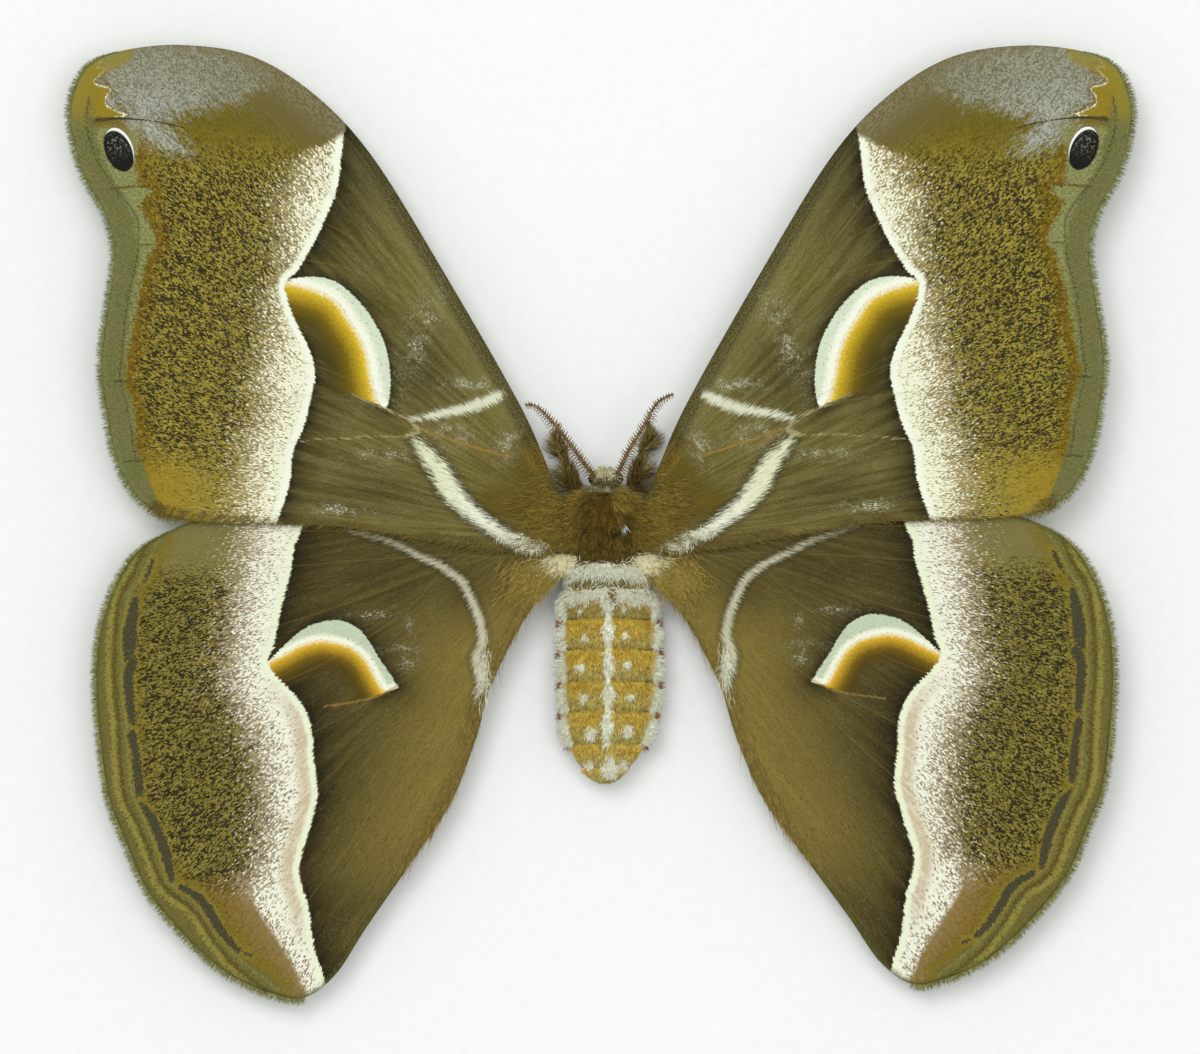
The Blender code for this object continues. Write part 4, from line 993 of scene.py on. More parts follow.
def fore_paint():
    paint = Paint("wing_fore_scales", 0.04)
    u, v, under = paint.field("plan")
    rim, front, _ = paint.field("edge")
    border, edge_line, ticks = paint.field("border")
    inner, outside, _ = paint.field("band")
    # Outer field, with its pale band
    high = v.step(37.0, 45.0)
    sparse = high * 0.8 + v.step(9.0, 4.0, 0.0, 0.6)
    short = speckled(paint, (172, 154, 66), (44, 43, 30), ((134, 121, 46), (120, 107, 40)), sparse, 0.50)
    paint.over((100, 90, 22), high * 0.8)
    paint.over((112, 100, 56), high * front.step(9.0, 3.0))
    paint.over((138, 130, 104), high * front.step(4.5, 1.0) * short.step(0.46, 0.56, 0.1, 0.8))
    paint.over((118, 92, 14), border.fray(short, 4.0).step(2.0, 0.1, 0.0, 0.85))
    corner = v.step(9.0, 4.0) * u.step(43.0, 49.5)
    paint.over((160, 134, 42), corner * short.step(0.60, 0.54, 0.45, 0.85))
    ends = (v + u * 0.35).step(53.0, 54.5)
    wide = v.step(30.0, 38.0, -0.2, 0.3)
    loose = banded(paint, outside, short, ends, wide, 5.0, (176, 160, 118), (248, 249, 220))
    outer_side = paint.colour

    # Inner field, with its crescent
    streak, fine, grain = streaked(paint, ((106, 96, 46), (130, 121, 68)))
    paint.over((134, 128, 76), front.step(5.4, 1.0, 0.0, 0.75))
    dark, gold, glint = paint.field("zone")
    paint.over((98, 82, 24), gold.step(0.0, 1.0) * 0.9)
    paint.over((156, 124, 36), gold.step(0.8, 1.7))
    costal = front.fray(fine, 1.6).step(2.2, 1.2) * u.step(40.0, 22.0)
    paint.over((64, 60, 34), costal * grain.step(0.36, 0.60, 0.35, 0.95))
    paint.over((28, 25, 17), dark * streak.step(0.70, 0.40, 0.82, 1.0))
    scattered(paint, fine, grain, dark, glint, (48, 41, 20), (156, 145, 86))
    fleck = crescent_mark(paint, (250, 252, 232), (218, 230, 202), (196, 164, 40), (86, 74, 22), 3.2, 1.3)
    cut = inner.fray(fine, 0.9)
    paint.colour = paint.mix(cut.step(-0.08, 0.08), paint.colour, outer_side)
    paint.over((248, 251, 230), cut.step(-0.05, 0.1) * cut.step(1.1, 0.5) * ends.step(1.0, 0.0))

    # Pale lines near the body
    cell, junction, band = paint.field("paint_0")
    torn = (fine - 0.5) * 2.6
    paint.over((44, 38, 28), (band + torn).step(1.1, 0.2) * 0.6)
    cream = paint.mix(u.step(21.0, 12.0), (232, 235, 194), (250, 251, 228))
    paint.over(cream, (band + torn * 1.3).step(0.35, -0.55) * fine.step(0.64, 0.46, 0.72, 1.0))
    paint.over((232, 234, 206), (cell + torn).step(0.3, -0.3, 0.0, 0.9))
    paint.over((184, 174, 128), junction.fray(fine, 1.6).step(0.05, -0.2, 0.0, 0.75))
    orange, eye_line, zig = paint.field("paint_1")
    paint.over((166, 130, 58), orange.fray(fine, 0.8).step(0.14, -0.08, 0.0, 0.7))

    # Apex: the lilac patch, the zigzag and the ground of the eyespot
    patch, zig_side, eye_field = paint.field("apex")
    haze = patch.fray(loose, 5.0).fray(short, 3.0)
    grit, _, _ = paint.scales((5.0, 13.0, 1), (8, 1, 4))
    paler = u.step(36.0, 52.0) * v.step(52.0, 44.0, 0.35, 1.0)
    silver = paint.mix(paler, (146, 147, 120), (184, 187, 172))
    shade = paint.mix(paler, (106, 104, 72), (128, 126, 112))
    lilac = paint.mix(grit.fray(loose, 0.8).step(0.15, 0.90), silver, shade)
    paint.over(lilac, haze.step(0.9, -1.2, 0.0, 0.94))
    paint.over((150, 128, 34), zig_side.step(-0.05, 0.05) * short.step(0.30, 0.50, 0.75, 1.0))
    near_eye = eye_field.fray(short, 1.6).step(0.2, -0.2, 0.0, 0.9)
    paint.over((150, 148, 86), near_eye * v.step(45.2, 44.2))
    paint.over((246, 246, 206), zig.fray(fleck, 0.5).step(0.13, -0.05))
    paint.over((40, 38, 30), eye_line.step(0.07, -0.05))

    # Margin: the pale strip, the band outside it, their line and the vein ends
    strip = border.fray(short, 1.6).step(0.0, -0.22)
    salt = paint.noise("plan", (4.2, 4.2, 1), 2.0, 0.7, (6, 6, 0))
    pale = paint.mix(v.step(12.0, 24.0), (136, 138, 84), (152, 154, 92))
    pale = paint.mix(salt.step(0.42, 0.58), pale, (118, 120, 78))
    paint.over(pale, strip * v.step(46.0, 42.0))
    outer_band = rim.fray(short, 1.4).step(3.1, 2.5) * border.step(0.3, -0.1)
    mild = paint.noise("plan", (0.22, 0.22, 1), 3.0, 0.6, (3, 5, 0))
    drab = paint.mix(mild.step(0.40, 0.60), (103, 105, 56), (112, 103, 61))
    drab = paint.mix(salt.step(0.36, 0.64, 0.0, 0.8), drab, (126, 128, 79))
    drab = paint.mix(short.step(0.42, 0.34, 0.0, 0.35), drab, (84, 84, 46))
    paint.over(drab, outer_band * v.step(49.5, 44.0))
    paint.over((146, 132, 50), rim.step(2.4, 1.4) * v.step(43.0, 47.0, 0.0, 0.8))
    paint.over((72, 68, 44), edge_line.fray(salt, 1.6).step(0.14, -0.04, 0.0, 0.8))
    paint.over((82, 68, 28), ticks.fray(fleck, 0.7).step(0.22, 0.02, 0.0, 0.8))
    paint.over((134, 138, 86), rim.step(1.0, 0.2) * short.step(0.46, 0.56, 0.15, 0.6))

    # Eyespot, with a pale rim on one side
    p, q, _ = paint.field("eyespot")
    radius = (p * p + q * q).root()
    paint.over((30, 30, 26), radius.fray(fleck, 0.2).step(1.04, 0.96))
    grey = radius.step(0.92, 0.6) * fleck.step(0.50, 0.62, 0.0, 0.8)
    paint.over((120, 124, 112), grey * q.step(-0.7, 0.3))
    gleam = ((p - 0.16) ** 2.0 + (q + 0.14) ** 2.0).root()
    paint.over((248, 250, 244), radius.step(1.0, 0.95) * gleam.step(0.98, 1.06))
    return wing_finish(paint, fine, under, (146, 130, 78), 0.16, (150, 146, 108))


def hind_paint():
    paint = Paint("wing_hind_scales", 0.04)
    _, v, under = paint.field("plan")
    inner, outside, rim = paint.field("band")
    border, dash, _ = paint.field("border")
    # Outer field, with its pale band and the pink stripe in it
    high = v.step(-7.8, -3.2)
    short = speckled(paint, (150, 138, 66), (42, 39, 24), ((120, 108, 46), (102, 94, 38)), high, 0.48)
    paint.over((126, 117, 72), high * 0.8)
    wide = v.step(-17.0, -24.0, 0.6, -0.2) + v.step(-37.0, -44.0, 0.0, 0.7)
    loose = banded(paint, outside, short, 0.0, wide, 4.8, (184, 168, 140), (248, 248, 228))
    tip = v.step(-39.0, -44.0) * outside.step(-0.3, 0.5)
    paint.over((134, 106, 42), tip * short.step(0.62, 0.44, 0.55, 0.95))
    stripe = inner.step(0.4, 0.8) * inner.fray(loose, 1.4).step(2.7, 1.5) * v.step(-49.0, -43.0)
    paint.over((208, 190, 156), v.step(-17, -24) * stripe * loose.step(0.35, 0.6, 0.5, 0.95))
    outer_side = paint.colour

    # Inner field, with its crescent
    streak, fine, grain = streaked(paint, ((88, 79, 40), (106, 95, 50)))
    dark, gold, glint = paint.field("zone")
    gold = gold * v.step(-46.0, -34.0, 0.1, 1.0)
    paint.over((138, 121, 58), gold * streak.step(0.60, 0.40, 0.7, 1.0))
    paint.over((30, 26, 15), dark * streak.step(0.70, 0.40, 0.85, 1.0))
    scattered(paint, fine, grain, dark, glint, (50, 41, 20), (154, 138, 80))
    crescent_mark(paint, (248, 250, 226), (200, 212, 182), (198, 158, 44), (84, 68, 20), 2.2, 0.8)
    cut = inner.fray(fine, 1.1)
    paint.colour = paint.mix(cut.step(-0.1, 0.1), paint.colour, outer_side)
    paint.over((240, 246, 214), cut.step(-0.05, 0.12) * cut.step(1.0, 0.45))

    # Pale line near the body, and the one behind the crescent
    base, fold, _ = paint.field("paint_0")
    torn = base.fray(fine, 2.0)
    paint.over((44, 38, 24), torn.step(0.8, 0.2) * 0.35)
    paint.over((216, 214, 184), torn.step(0.25, -0.5) * v.step(-1.0, -5.0, 0.35, 0.85))
    paint.over((160, 128, 66), fold.fray(fine, 0.8).step(0.12, -0.06, 0.0, 0.6))

    # Margin: its ochre edge, stripes and slate dashes
    wavy = border.fray(loose, 2.2).fray(short, 3.0)
    paint.over((124, 108, 36), wavy.step(1.35, 0.75, 0.0, 0.9) * border.step(-0.2, 0.1))
    ragged = border.fray(short, 0.9)
    paint.over((112, 104, 52), ragged.step(0.1, -0.3))
    mild = paint.noise("plan", (0.3, 0.3, 1), 3.0, 0.6, (3, 5, 0)).step(0.25, 0.5, 0.6, 1.0)
    for middle, half, colour, most in MARGIN_STRIPES:
        gap = paint.math("ABSOLUTE", ragged + middle)
        paint.over(colour, gap.step(half, half * 0.4, 0.0, most) * mild)
    salt = paint.noise("plan", (4.2, 4.2, 1), 2.0, 0.7, (6, 6, 0))
    margin = ragged.step(-0.2, -0.4)
    paint.over((146, 140, 84), margin * salt.step(0.52, 0.66, 0.0, 0.4))
    paint.over((72, 70, 36), margin * short.step(0.40, 0.28, 0.0, 0.5))
    paint.over((96, 98, 50), rim.fray(short, 1.0).step(0.9, 0.2, 0.0, 0.8))
    paint.over((140, 124, 46), dash.fray(short, 1.2).step(0.36, 0.16, 0.0, 0.85))
    slate = paint.mix(salt.step(0.40, 0.60), (60, 59, 44), (78, 76, 55))
    paint.over(slate, dash.fray(short, 0.7).step(0.08, -0.06, 0.0, 0.95))
    return wing_finish(paint, fine, under, (150, 124, 68), 0.14, (150, 144, 108))


def tinted_paint(name, grain, roughness, depth):
    """A material that takes its colour from the tint stored on the mesh, with fine streaks over it."""
    paint = Paint(name, 0.1)
    noise = paint.cloud(paint.place(), grain, 3.0, 0.6)
    inputs = {0: paint.stored("tint", "Color"), "Scale": noise.step(0.3, 0.7, 0.78, 1.25)}
    paint.colour = paint.node("ShaderNodeVectorMath", inputs, operation="SCALE")
    return paint.finish(noise.step(0.3, 0.7, roughness - 0.1, roughness + 0.1), noise, depth)


def antenna_paint():
    paint = Paint("antenna_horn", 0.4)
    noise = paint.cloud(paint.place(), 2600.0, 3.0)
    paint.colour = paint.mix(noise.step(0.35, 0.65), (132, 102, 52), (84, 62, 28))
    return paint.finish(noise.step(0.3, 0.7, 0.4, 0.6), noise, 0.00002)


def eye_paint():
    """Dark glossy lenses, with their facets in the relief."""
    paint = Paint("eye_facets", 0.5)
    place = paint.place()
    cells = paint.node("ShaderNodeTexVoronoi", {"Vector": place, "Scale": 12000.0}, "Distance")
    noise = paint.cloud(place, 1500.0, 2.0)
    paint.colour = paint.mix(noise.step(0.35, 0.65), (34, 25, 18), (14, 11, 10))
    return paint.finish(noise.step(0.3, 0.7, 0.16, 0.28), cells, -0.00001)


def roundness(share, bluntness):
    return np.sqrt(np.maximum(0.0, 1 - np.abs(share) ** bluntness))


def thorax_ring(share, grow=0.0):
    """Middle x, y, middle z, half width and half height of the thorax at shares from -1, its front, to 1."""
    share = np.asarray(share, float)
    size = np.maximum(0.12, roundness(share, THORAX["bluntness"]))
    y = THORAX["middle"] - (THORAX["half_length"] + grow) * share
    wide, high = THORAX["half_width"] * size + grow, THORAX["half_height"] * size + grow
    return 0 * share, y, 0 * share + THORAX["centre_z"], wide, high


def segment_share(y):
    """Which segment of the abdomen a place along it is in, and how far through that segment it is."""
    ends = np.array([ABDOMEN["start"], *SEGMENT_ENDS])
    number = np.clip(np.searchsorted(-ends, -np.asarray(y, float)) - 1, 0, len(ends) - 2)
    return number, (y - ends[number]) / (ends[number + 1] - ends[number])


def abdomen_ring(y, grow=0.0):
    y = np.asarray(y, float)
    length = np.where(y < ABDOMEN["middle"], ABDOMEN["back"], ABDOMEN["front"])
    size = np.maximum(0.1, roundness((y - ABDOMEN["middle"]) / length, ABDOMEN["bluntness"]))
    _, share = segment_share(y)
    groove = 1 - SEGMENT_DEPTH * np.abs(np.cos(np.pi * np.clip(share, 0, 1) ** 0.75)) ** 6
    wide = ABDOMEN["half_width"] * size * groove + grow
    high = ABDOMEN["half_width"] * ABDOMEN["flatness"] * size * groove + grow
    lean = np.minimum((y - ABDOMEN["start"]) / (ABDOMEN["middle"] - ABDOMEN["start"]), 2.0)
    return ABDOMEN["lean"] * np.sin(lean * np.pi / 2), y, 0 * y + ABDOMEN["centre_z"], wide, high


def waist_ring(y, grow=0.0):
    size = WAIST["radius"] + grow + 0 * y
    return 0 * y, y, WAIST["centre_z"] + 0 * y, size, size


def ring_place(ring, angle):
    """Places round rings, at angles in radians from their tops."""
    x, y, middle, wide, high = ring
    return np.stack([x + wide * np.sin(angle), y + 0 * angle, middle + high * np.cos(angle)], axis=-1)


def unit(ways):
    return ways / np.maximum(1e-9, np.linalg.norm(ways, axis=-1, keepdims=True))


def body_place(ring_at, along, angle, grow):
    """Places on a body and the ways straight out of it there."""
    spots = ring_place(ring_at(along, grow), angle)
    on = ring_place(ring_at(along - 0.02, grow), angle) - spots
    out = unit(np.cross(on, ring_place(ring_at(along, grow), angle + 0.02) - spots))
    middle = np.stack([ring_at(along)[0], spots[:, 1], ring_at(along)[2]], axis=-1)
    flip = np.where((out * (middle - spots)).sum(1) > 0, -1.0, 1.0)[:, None]
    return spots, out * flip


def round_angles(sides):
    return math.tau * (np.arange(sides) + 0.5) / sides


def barrel(rings, sides):
    """Points and triangles of a closed body from rings, flat at the floor."""
    count, angle = len(rings[0]), round_angles(sides)
    points = np.vstack([ring_place([r[i] for r in rings], angle) for i in range(count)])
    points[:, 2] = np.maximum(SKIN_FLOOR, points[:, 2])
    return points, tube_faces(count, sides)


def tube_faces(count, sides):
    faces = []
    for ring in range(count - 1):
        for k in range(sides):
            a, b = ring * sides + k, ring * sides + (k + 1) % sides
            faces += [(a, b, b + sides), (a, b + sides, a + sides)]
    for first in (0, (count - 1) * sides):
        caps = [(first, first + k, first + k + 1) for k in range(1, sides - 1)]
        faces += caps if first else [c[::-1] for c in caps]
    return faces


def frames(path):
    """The way along a path, and two ways across it that don't twist."""
    runs = unit(np.gradient(path, axis=0))
    across = [unit(np.cross(runs[0], (0.0, 0.0, 1.0)))]
    for run in runs[1:]:
        across.append(unit(across[-1] - run * (across[-1] @ run)))
    across = np.array(across)
    return runs, across, np.cross(across, runs)


def tube(path, radii, sides):
    """Points and triangles of a closed tube along a path."""
    _, across, upward = frames(path)
    angle = round_angles(sides)[:, None]
    wide, high = np.cos(angle) * radii[:, None, None], np.sin(angle) * radii[:, None, None]
    points = (path[:, None] + across[:, None] * wide + upward[:, None] * high).reshape(-1, 3)
    points[:, 2] = np.maximum(SKIN_FLOOR, points[:, 2])
    return points, tube_faces(len(path), sides)


def joined(parts):
    """The points and triangles of several pieces as one."""
    points, faces, first = [], [], 0
    for some, triangles in parts:
        points.append(some)
        faces.append(np.array(triangles) + first)
        first += len(some)
    return np.vstack(points), np.vstack(faces)


def leg_lines():
    """Each leg's path and radii, by name."""
    found = {}
    for kind, paths in LEG_PATHS.items():
        for side_name, side in SIDES.items():
            path = np.array(paths.get(side_name) or paths["both"]) * (side, 1, 1)
            fine = smooth_line(path, 0.25)
            places = np.linspace(0, len(path) - 1, len(fine))
            found[kind, side_name] = fine, np.interp(places, range(len(path)), LEG_RADII[kind])
    return found


def body_skin():
    """One skin for the thorax, abdomen, head, mouth parts and legs."""
    shares = np.sin(np.linspace(-1, 1, 40) * math.pi / 2)
    ys = np.linspace(ABDOMEN["start"] + 0.6, SEGMENT_ENDS[-1] - 0.2, 150)
    turn = np.linspace(0.04, 0.96, 30) * math.pi
    centre, half = np.array(HEAD["centre"]), np.array(HEAD["half"]) - SKIN_DEPTH / 2
    middle = [0 * turn + centre[0], centre[1] + half[1] * np.cos(turn), 0 * turn + centre[2]]
    head = [*middle, half[0] * np.sin(turn), half[2] * np.sin(turn)]
    shapes = [
        barrel(thorax_ring(shares, -SKIN_DEPTH), 64),
        barrel(abdomen_ring(ys, -SKIN_DEPTH), 64),
        barrel(head, 40),
    ]
    waist = [(0.0, y, WAIST["centre_z"]) for y in (-2.5, -4.2, -6.0)]
    for path, radius in ((NECK_PATH, NECK_RADIUS), (waist, WAIST["radius"])):
        line = smooth_line(path, 0.3)
        shapes.append(tube(line, np.full(len(line), radius), 32))
    for side in SIDES.values():
        line = smooth_line(np.array(PALP_PATH) * (side, 1, 1), 0.2)
        shapes.append(tube(line, np.interp(np.linspace(0, 3, len(line)), range(4), PALP_RADII) - 0.1, 14))
    for path, radii in leg_lines().values():
        start = path[0] + (path[0] - path[3]) * 0.8
        shapes.append(tube(np.vstack([start, path]), np.r_[radii[0], radii] * LEG_SKIN_SHARE, 14))
    skin = mesh_object("body_skin", *joined(shapes))
    fuse = skin.modifiers.new("Fuse", "REMESH")
    fuse.mode = "VOXEL"
    fuse.voxel_size = SKIN_VOXEL * MM
    soften = skin.modifiers.new("Soften", "SMOOTH")
    soften.factor, soften.iterations = 0.5, 3
    graph = bpy.context.evaluated_depsgraph_get()
    mesh = bpy.data.meshes.new_from_object(skin.evaluated_get(graph))
    skin.modifiers.clear()
    skin.data = mesh
    mesh.polygons.foreach_set("use_smooth", np.full(len(mesh.polygons), True))
    return skin


def jitter(spots, seed, size):
    """A smooth random number for each place, about -1 to 1, that changes over the given length."""
    draw = np.random.default_rng(seed)
    total = np.zeros(len(spots))
    for _ in range(8):
        way = unit(draw.normal(size=3))
        total += np.sin(spots @ way * math.tau / size * draw.uniform(0.6, 1.6) + draw.uniform(0, 6.3))
    return total / 3.2


def blend(first, second, share):
    """The first where share is 0, the second where it is 1. Either may be one colour for all."""
    return first + (second - first) * share[:, None]


def tone(*colour):
    return np.array(linear(*colour))


def tones(draw, name, count, lean=1.0):
    """Random colours between the named two, for as many tufts."""
    light, deep = TONES[name]
    return blend(tone(*light), tone(*deep), draw.uniform(0, 1, count) ** lean)


def rows(*parts):
    """Numbers and columns side by side, as a row for each spot."""
    return np.stack(np.broadcast_arrays(*parts), axis=-1).astype(float)


def plan_gap(spots, place):
    return np.hypot(spots[:, 0] - place[0], spots[:, 1] - place[1])


def abdomen_tint(spots, angle):
    """The abdomen's colours, and how white it is at each place."""
    x, y = spots[:, 0], spots[:, 1]
    loose = jitter(spots, 5, 0.9)
    number, share = segment_share(y + 0.012 * x * x + 0.08 * loose)
    flank, wave = np.abs(np.sin(angle)), np.cos(share * math.tau)
    below = fade(np.cos(angle), -0.1, -0.4)
    # Khaki at the front of each segment and orange behind, with a dark line between segments: painted shade in
    # the groove between them
    khaki = blend(tone(172, 158, 92), tone(142, 129, 70), fade(loose, -0.2, 1.1))
    orange = blend(tone(192, 164, 64), tone(178, 139, 46), fade(jitter(spots, 6, 1.7), -0.4, 1.0))
    front = fade(share + 0.16 * loose + 0.10 * jitter(spots, 9, 2.4), 0.80, 0.22) * (number > 0)
    tint = blend(khaki, orange, 0.08 + 0.92 * front * between((1.0, 0.55), number / 7))
    tint = blend(tint, tone(84, 66, 32), fade(np.abs(share - 1), 0.10, 0.0) * 0.55)
    tint = tint * np.where(number == 1, 0.78, 1.0)[:, None]
    # White: the line down the back, the sides, the spots, the bands behind the thorax and the tip
    line = np.abs(x - abdomen_ring(y)[0] * 0.6 - 0.05) - DORSAL_HALF_WIDTH + 0.2 * wave - 0.12 * loose
    white = fade(line, 0.1, -0.1) * fade(y, -26.0, -25.0) * (y < -8.0)
    lateral = np.abs(flank - 0.985) - 0.032 + 0.022 * wave - 0.012 * loose
    white = np.maximum(white, fade(lateral, 0.02, -0.01) * (np.cos(angle) > -0.2) * fade(y, -25.5, -24.5))
    for (px, py), size in SPOTS:
        gap = np.hypot(x - px, (y - py) * 0.9) - size * 0.88 - 0.12 * loose
        white = np.maximum(white, fade(gap, 0.15, -0.15))
    vee = y + 8.0 + 0.16 * np.abs(x - 0.2) + 0.25 * loose
    white = np.maximum(white, fade(np.abs(vee + 0.1), 0.72, 0.4))
    collar = y + 5.7 + 0.02 * x * x + 0.1 * loose
    white = np.maximum(white, fade(np.abs(collar), 0.9, 0.65) * fade(y, -4.4, -5.0))
    brown = fade(np.abs(y + 7.05 - 0.15 * loose), 0.62, 0.42) * fade(np.abs(x + 0.4), 3.6, 3.0)
    brown = np.maximum(brown, fade(np.hypot(x - 0.8, (y + 8.5) * 0.6) + 0.15 * loose, 0.62, 0.42))
    tip = fade(np.hypot((x - 0.55) / 0.9, (y + 27.9) / 1.3) + 0.2 * loose, 1.15, 0.8)
    white = np.maximum(white * (1 - brown), tip * 0.9)
    dark = fade(np.abs(flank - 0.985), 0.03, 0.01) * fade(np.abs(share - 0.95), 0.25, 0.1) * (1 - below)
    tint = blend(tint, tone(122, 110, 64), brown)
    tint = blend(tint, tone(120, 100, 60), below)
    tint = blend(tint, tone(92, 76, 34), fade(y + 0.2 * loose, -5.2, -4.8))
    tint = blend(tint, tone(52, 40, 26), dark * 0.8)
    return tint, np.clip(white, 0, 1)


def thorax_tint(spots, angle):
    """The thorax's colours, and how pale it is at each place."""
    x, y = spots[:, 0], spots[:, 1]
    loose = jitter(spots, 8, 1.1)
    rust = np.exp(-(((x - 0.1) / 1.2) ** 2 + ((y - 1.1) / 1.6) ** 2))
    ring = fade(np.hypot(x / 3.0, (y + 0.4) / 3.6) + 0.1 * loose, 0.85, 1.15)
    tint = blend(tone(102, 86, 36), tone(72, 58, 22), fade(loose, -0.8, 0.9))
    tint = blend(tint, tone(98, 68, 20), rust * 0.7)
    tint = blend(tint, tone(112, 96, 42), ring * 0.85)
    tint = blend(tint, tone(96, 80, 46), fade(np.cos(angle), 0.0, -0.3))
    tint = blend(tint, tone(40, 32, 18), fade(plan_gap(spots, PIN["place"]), PIN["radius"] * 1.9, PIN["radius"]))
    return tint, fade(y + 0.1 * loose, 3.1, 3.5) * 0.55 * (np.cos(angle) > 0.1)


def add_tint(item, tints):
    """Stores a colour for each point, for the item's material to read."""
    shade = np.ones((len(tints), 4), np.float32)
    shade[:, :3] = tints
    item.data.attributes.new("tint", "FLOAT_COLOR", "POINT").data.foreach_set("color", shade.ravel())


def skin_tint(skin):
    """Stores the body's own colours on its skin: the coat's, with white a little darker elsewhere."""
    points = np.zeros(len(skin.data.vertices) * 3, np.float32)
    skin.data.vertices.foreach_get("co", points)
    spots = points.reshape(-1, 3) / MM
    x, y, z = spots.T
    angle = np.arctan2(x, z - AXIS_HEIGHT)
    abdomen, abdomen_white = abdomen_tint(spots, angle)
    thorax, thorax_white = thorax_tint(spots, angle)
    behind = fade(y, -4.2, -4.7)
    abdomen = blend(abdomen, tone(250, 251, 234), abdomen_white)
    tint = blend(blend(thorax, tone(150, 150, 118), thorax_white), abdomen, behind)
    tint = blend(tint, tone(92, 84, 44), fade(y, 3.6, 4.0))
    away = np.maximum(np.hypot(x, z - AXIS_HEIGHT) - 4.9, 0) * (y > -4.5)
    tint = blend(tint, tone(84, 70, 34), np.maximum(fade(away, 0.0, 0.3), fade(y, 6.2, 6.6)))
    add_tint(skin, tint * (0.8 + 0.2 * abdomen_white * behind)[:, None])


class Coat:
    """Tapering tufts gathered into meshes: each has a sunken root, bends along its lie and ends in a point."""

    STEPS = (0.0, 0.36, 0.72, 1.0)
    # Brightness of a tuft's first three rings, and how many points each ring and the tip hold: painted shade at
    # the root, painted light towards the tip
    ROOT_SHADE_TIP_LIGHT = ([0.8, 1.0, 1.05], [3, 3, 3, 1])

    def __init__(self, draw):
        self.draw = draw
        self.points, self.tints, self.places = [], [], []

    def add(self, roots, outs, lies, size, tints, places, curl=0.0, tip=1.15):
        """Adds one tuft for each root. size holds length, width, rise and sink; places are where on the map."""
        count = len(roots)
        bend = self.draw.normal(0, curl, count)[:, None] if curl else 0.0
        length, width, rise, sink = (np.broadcast_to(s, count)[:, None] for s in size)
        lies = unit(lies - outs * (lies * outs).sum(1, keepdims=True))
        across = np.cross(lies, outs)
        rings = []
        for t in self.STEPS:
            middle = roots + lies * length * t + outs * (rise * math.sin(t * math.pi * 0.7))
            middle = middle - outs * sink * (1 - t) ** 2 + across * length * bend * t * t
            half = width / 2 * (1 - t**1.6) * (0.8 + 0.2 * math.sin(t * math.pi))
            wide, deep = across * half, outs * (half * TUFT_FLATNESS)
            ring = [middle + wide - deep, middle + deep, middle - wide - deep] if t < 1 else [middle]
            rings.append(np.stack(ring, axis=1))
        points = np.concatenate(rings, axis=1)
        points[:, :, 2] = np.maximum(TUFT_FLOOR, points[:, :, 2])
        # Each tuft is painted darker at its root, as painted shade, and lighter towards its tip, as painted light
        shades, times = self.ROOT_SHADE_TIP_LIGHT
        shade = np.repeat([*shades, tip], times)
        gain = np.minimum(COAT_GAIN, 1 / tints.max(axis=1))[:, None, None]
        self.points.append(points)
        self.tints.append(tints[:, None] * shade[None, :, None] * gain)
        self.places.append(places)

    def build(self, name):
        """The gathered tufts as one object, with their colours and their map."""
        places = np.concatenate(self.places)
        faces = [(0, 2, 1)]
        for ring in (0, 3):
            for k in range(3):
                a, b = ring + k, ring + (k + 1) % 3
                faces += [(a, b, b + 3), (a, b + 3, a + 3)]
        faces = np.array(faces + [(6 + k, 6 + (k + 1) % 3, 9) for k in range(3)])
        every = (faces[None] + 10 * np.arange(len(places))[:, None, None]).reshape(-1, 3)
        made = mesh_object(name, np.concatenate(self.points).reshape(-1, 3), every)
        add_tint(made, np.clip(np.concatenate(self.tints).reshape(-1, 3), 0, 1))
        spread = places[:, None] + (np.array(TUFT_MAP)[faces.ravel()][None] - 0.5) * MAP_PATCH
        layer = made.data.uv_layers.new(name="OFBake")
        layer.data.foreach_set("uv", np.clip(spread, 0.001, 0.999).astype(np.float32).ravel())
        return made


def body_map(angle, y):
    return rows(angle / math.tau % 1.0, 0.03 + 0.94 * (y + 31) / 38)


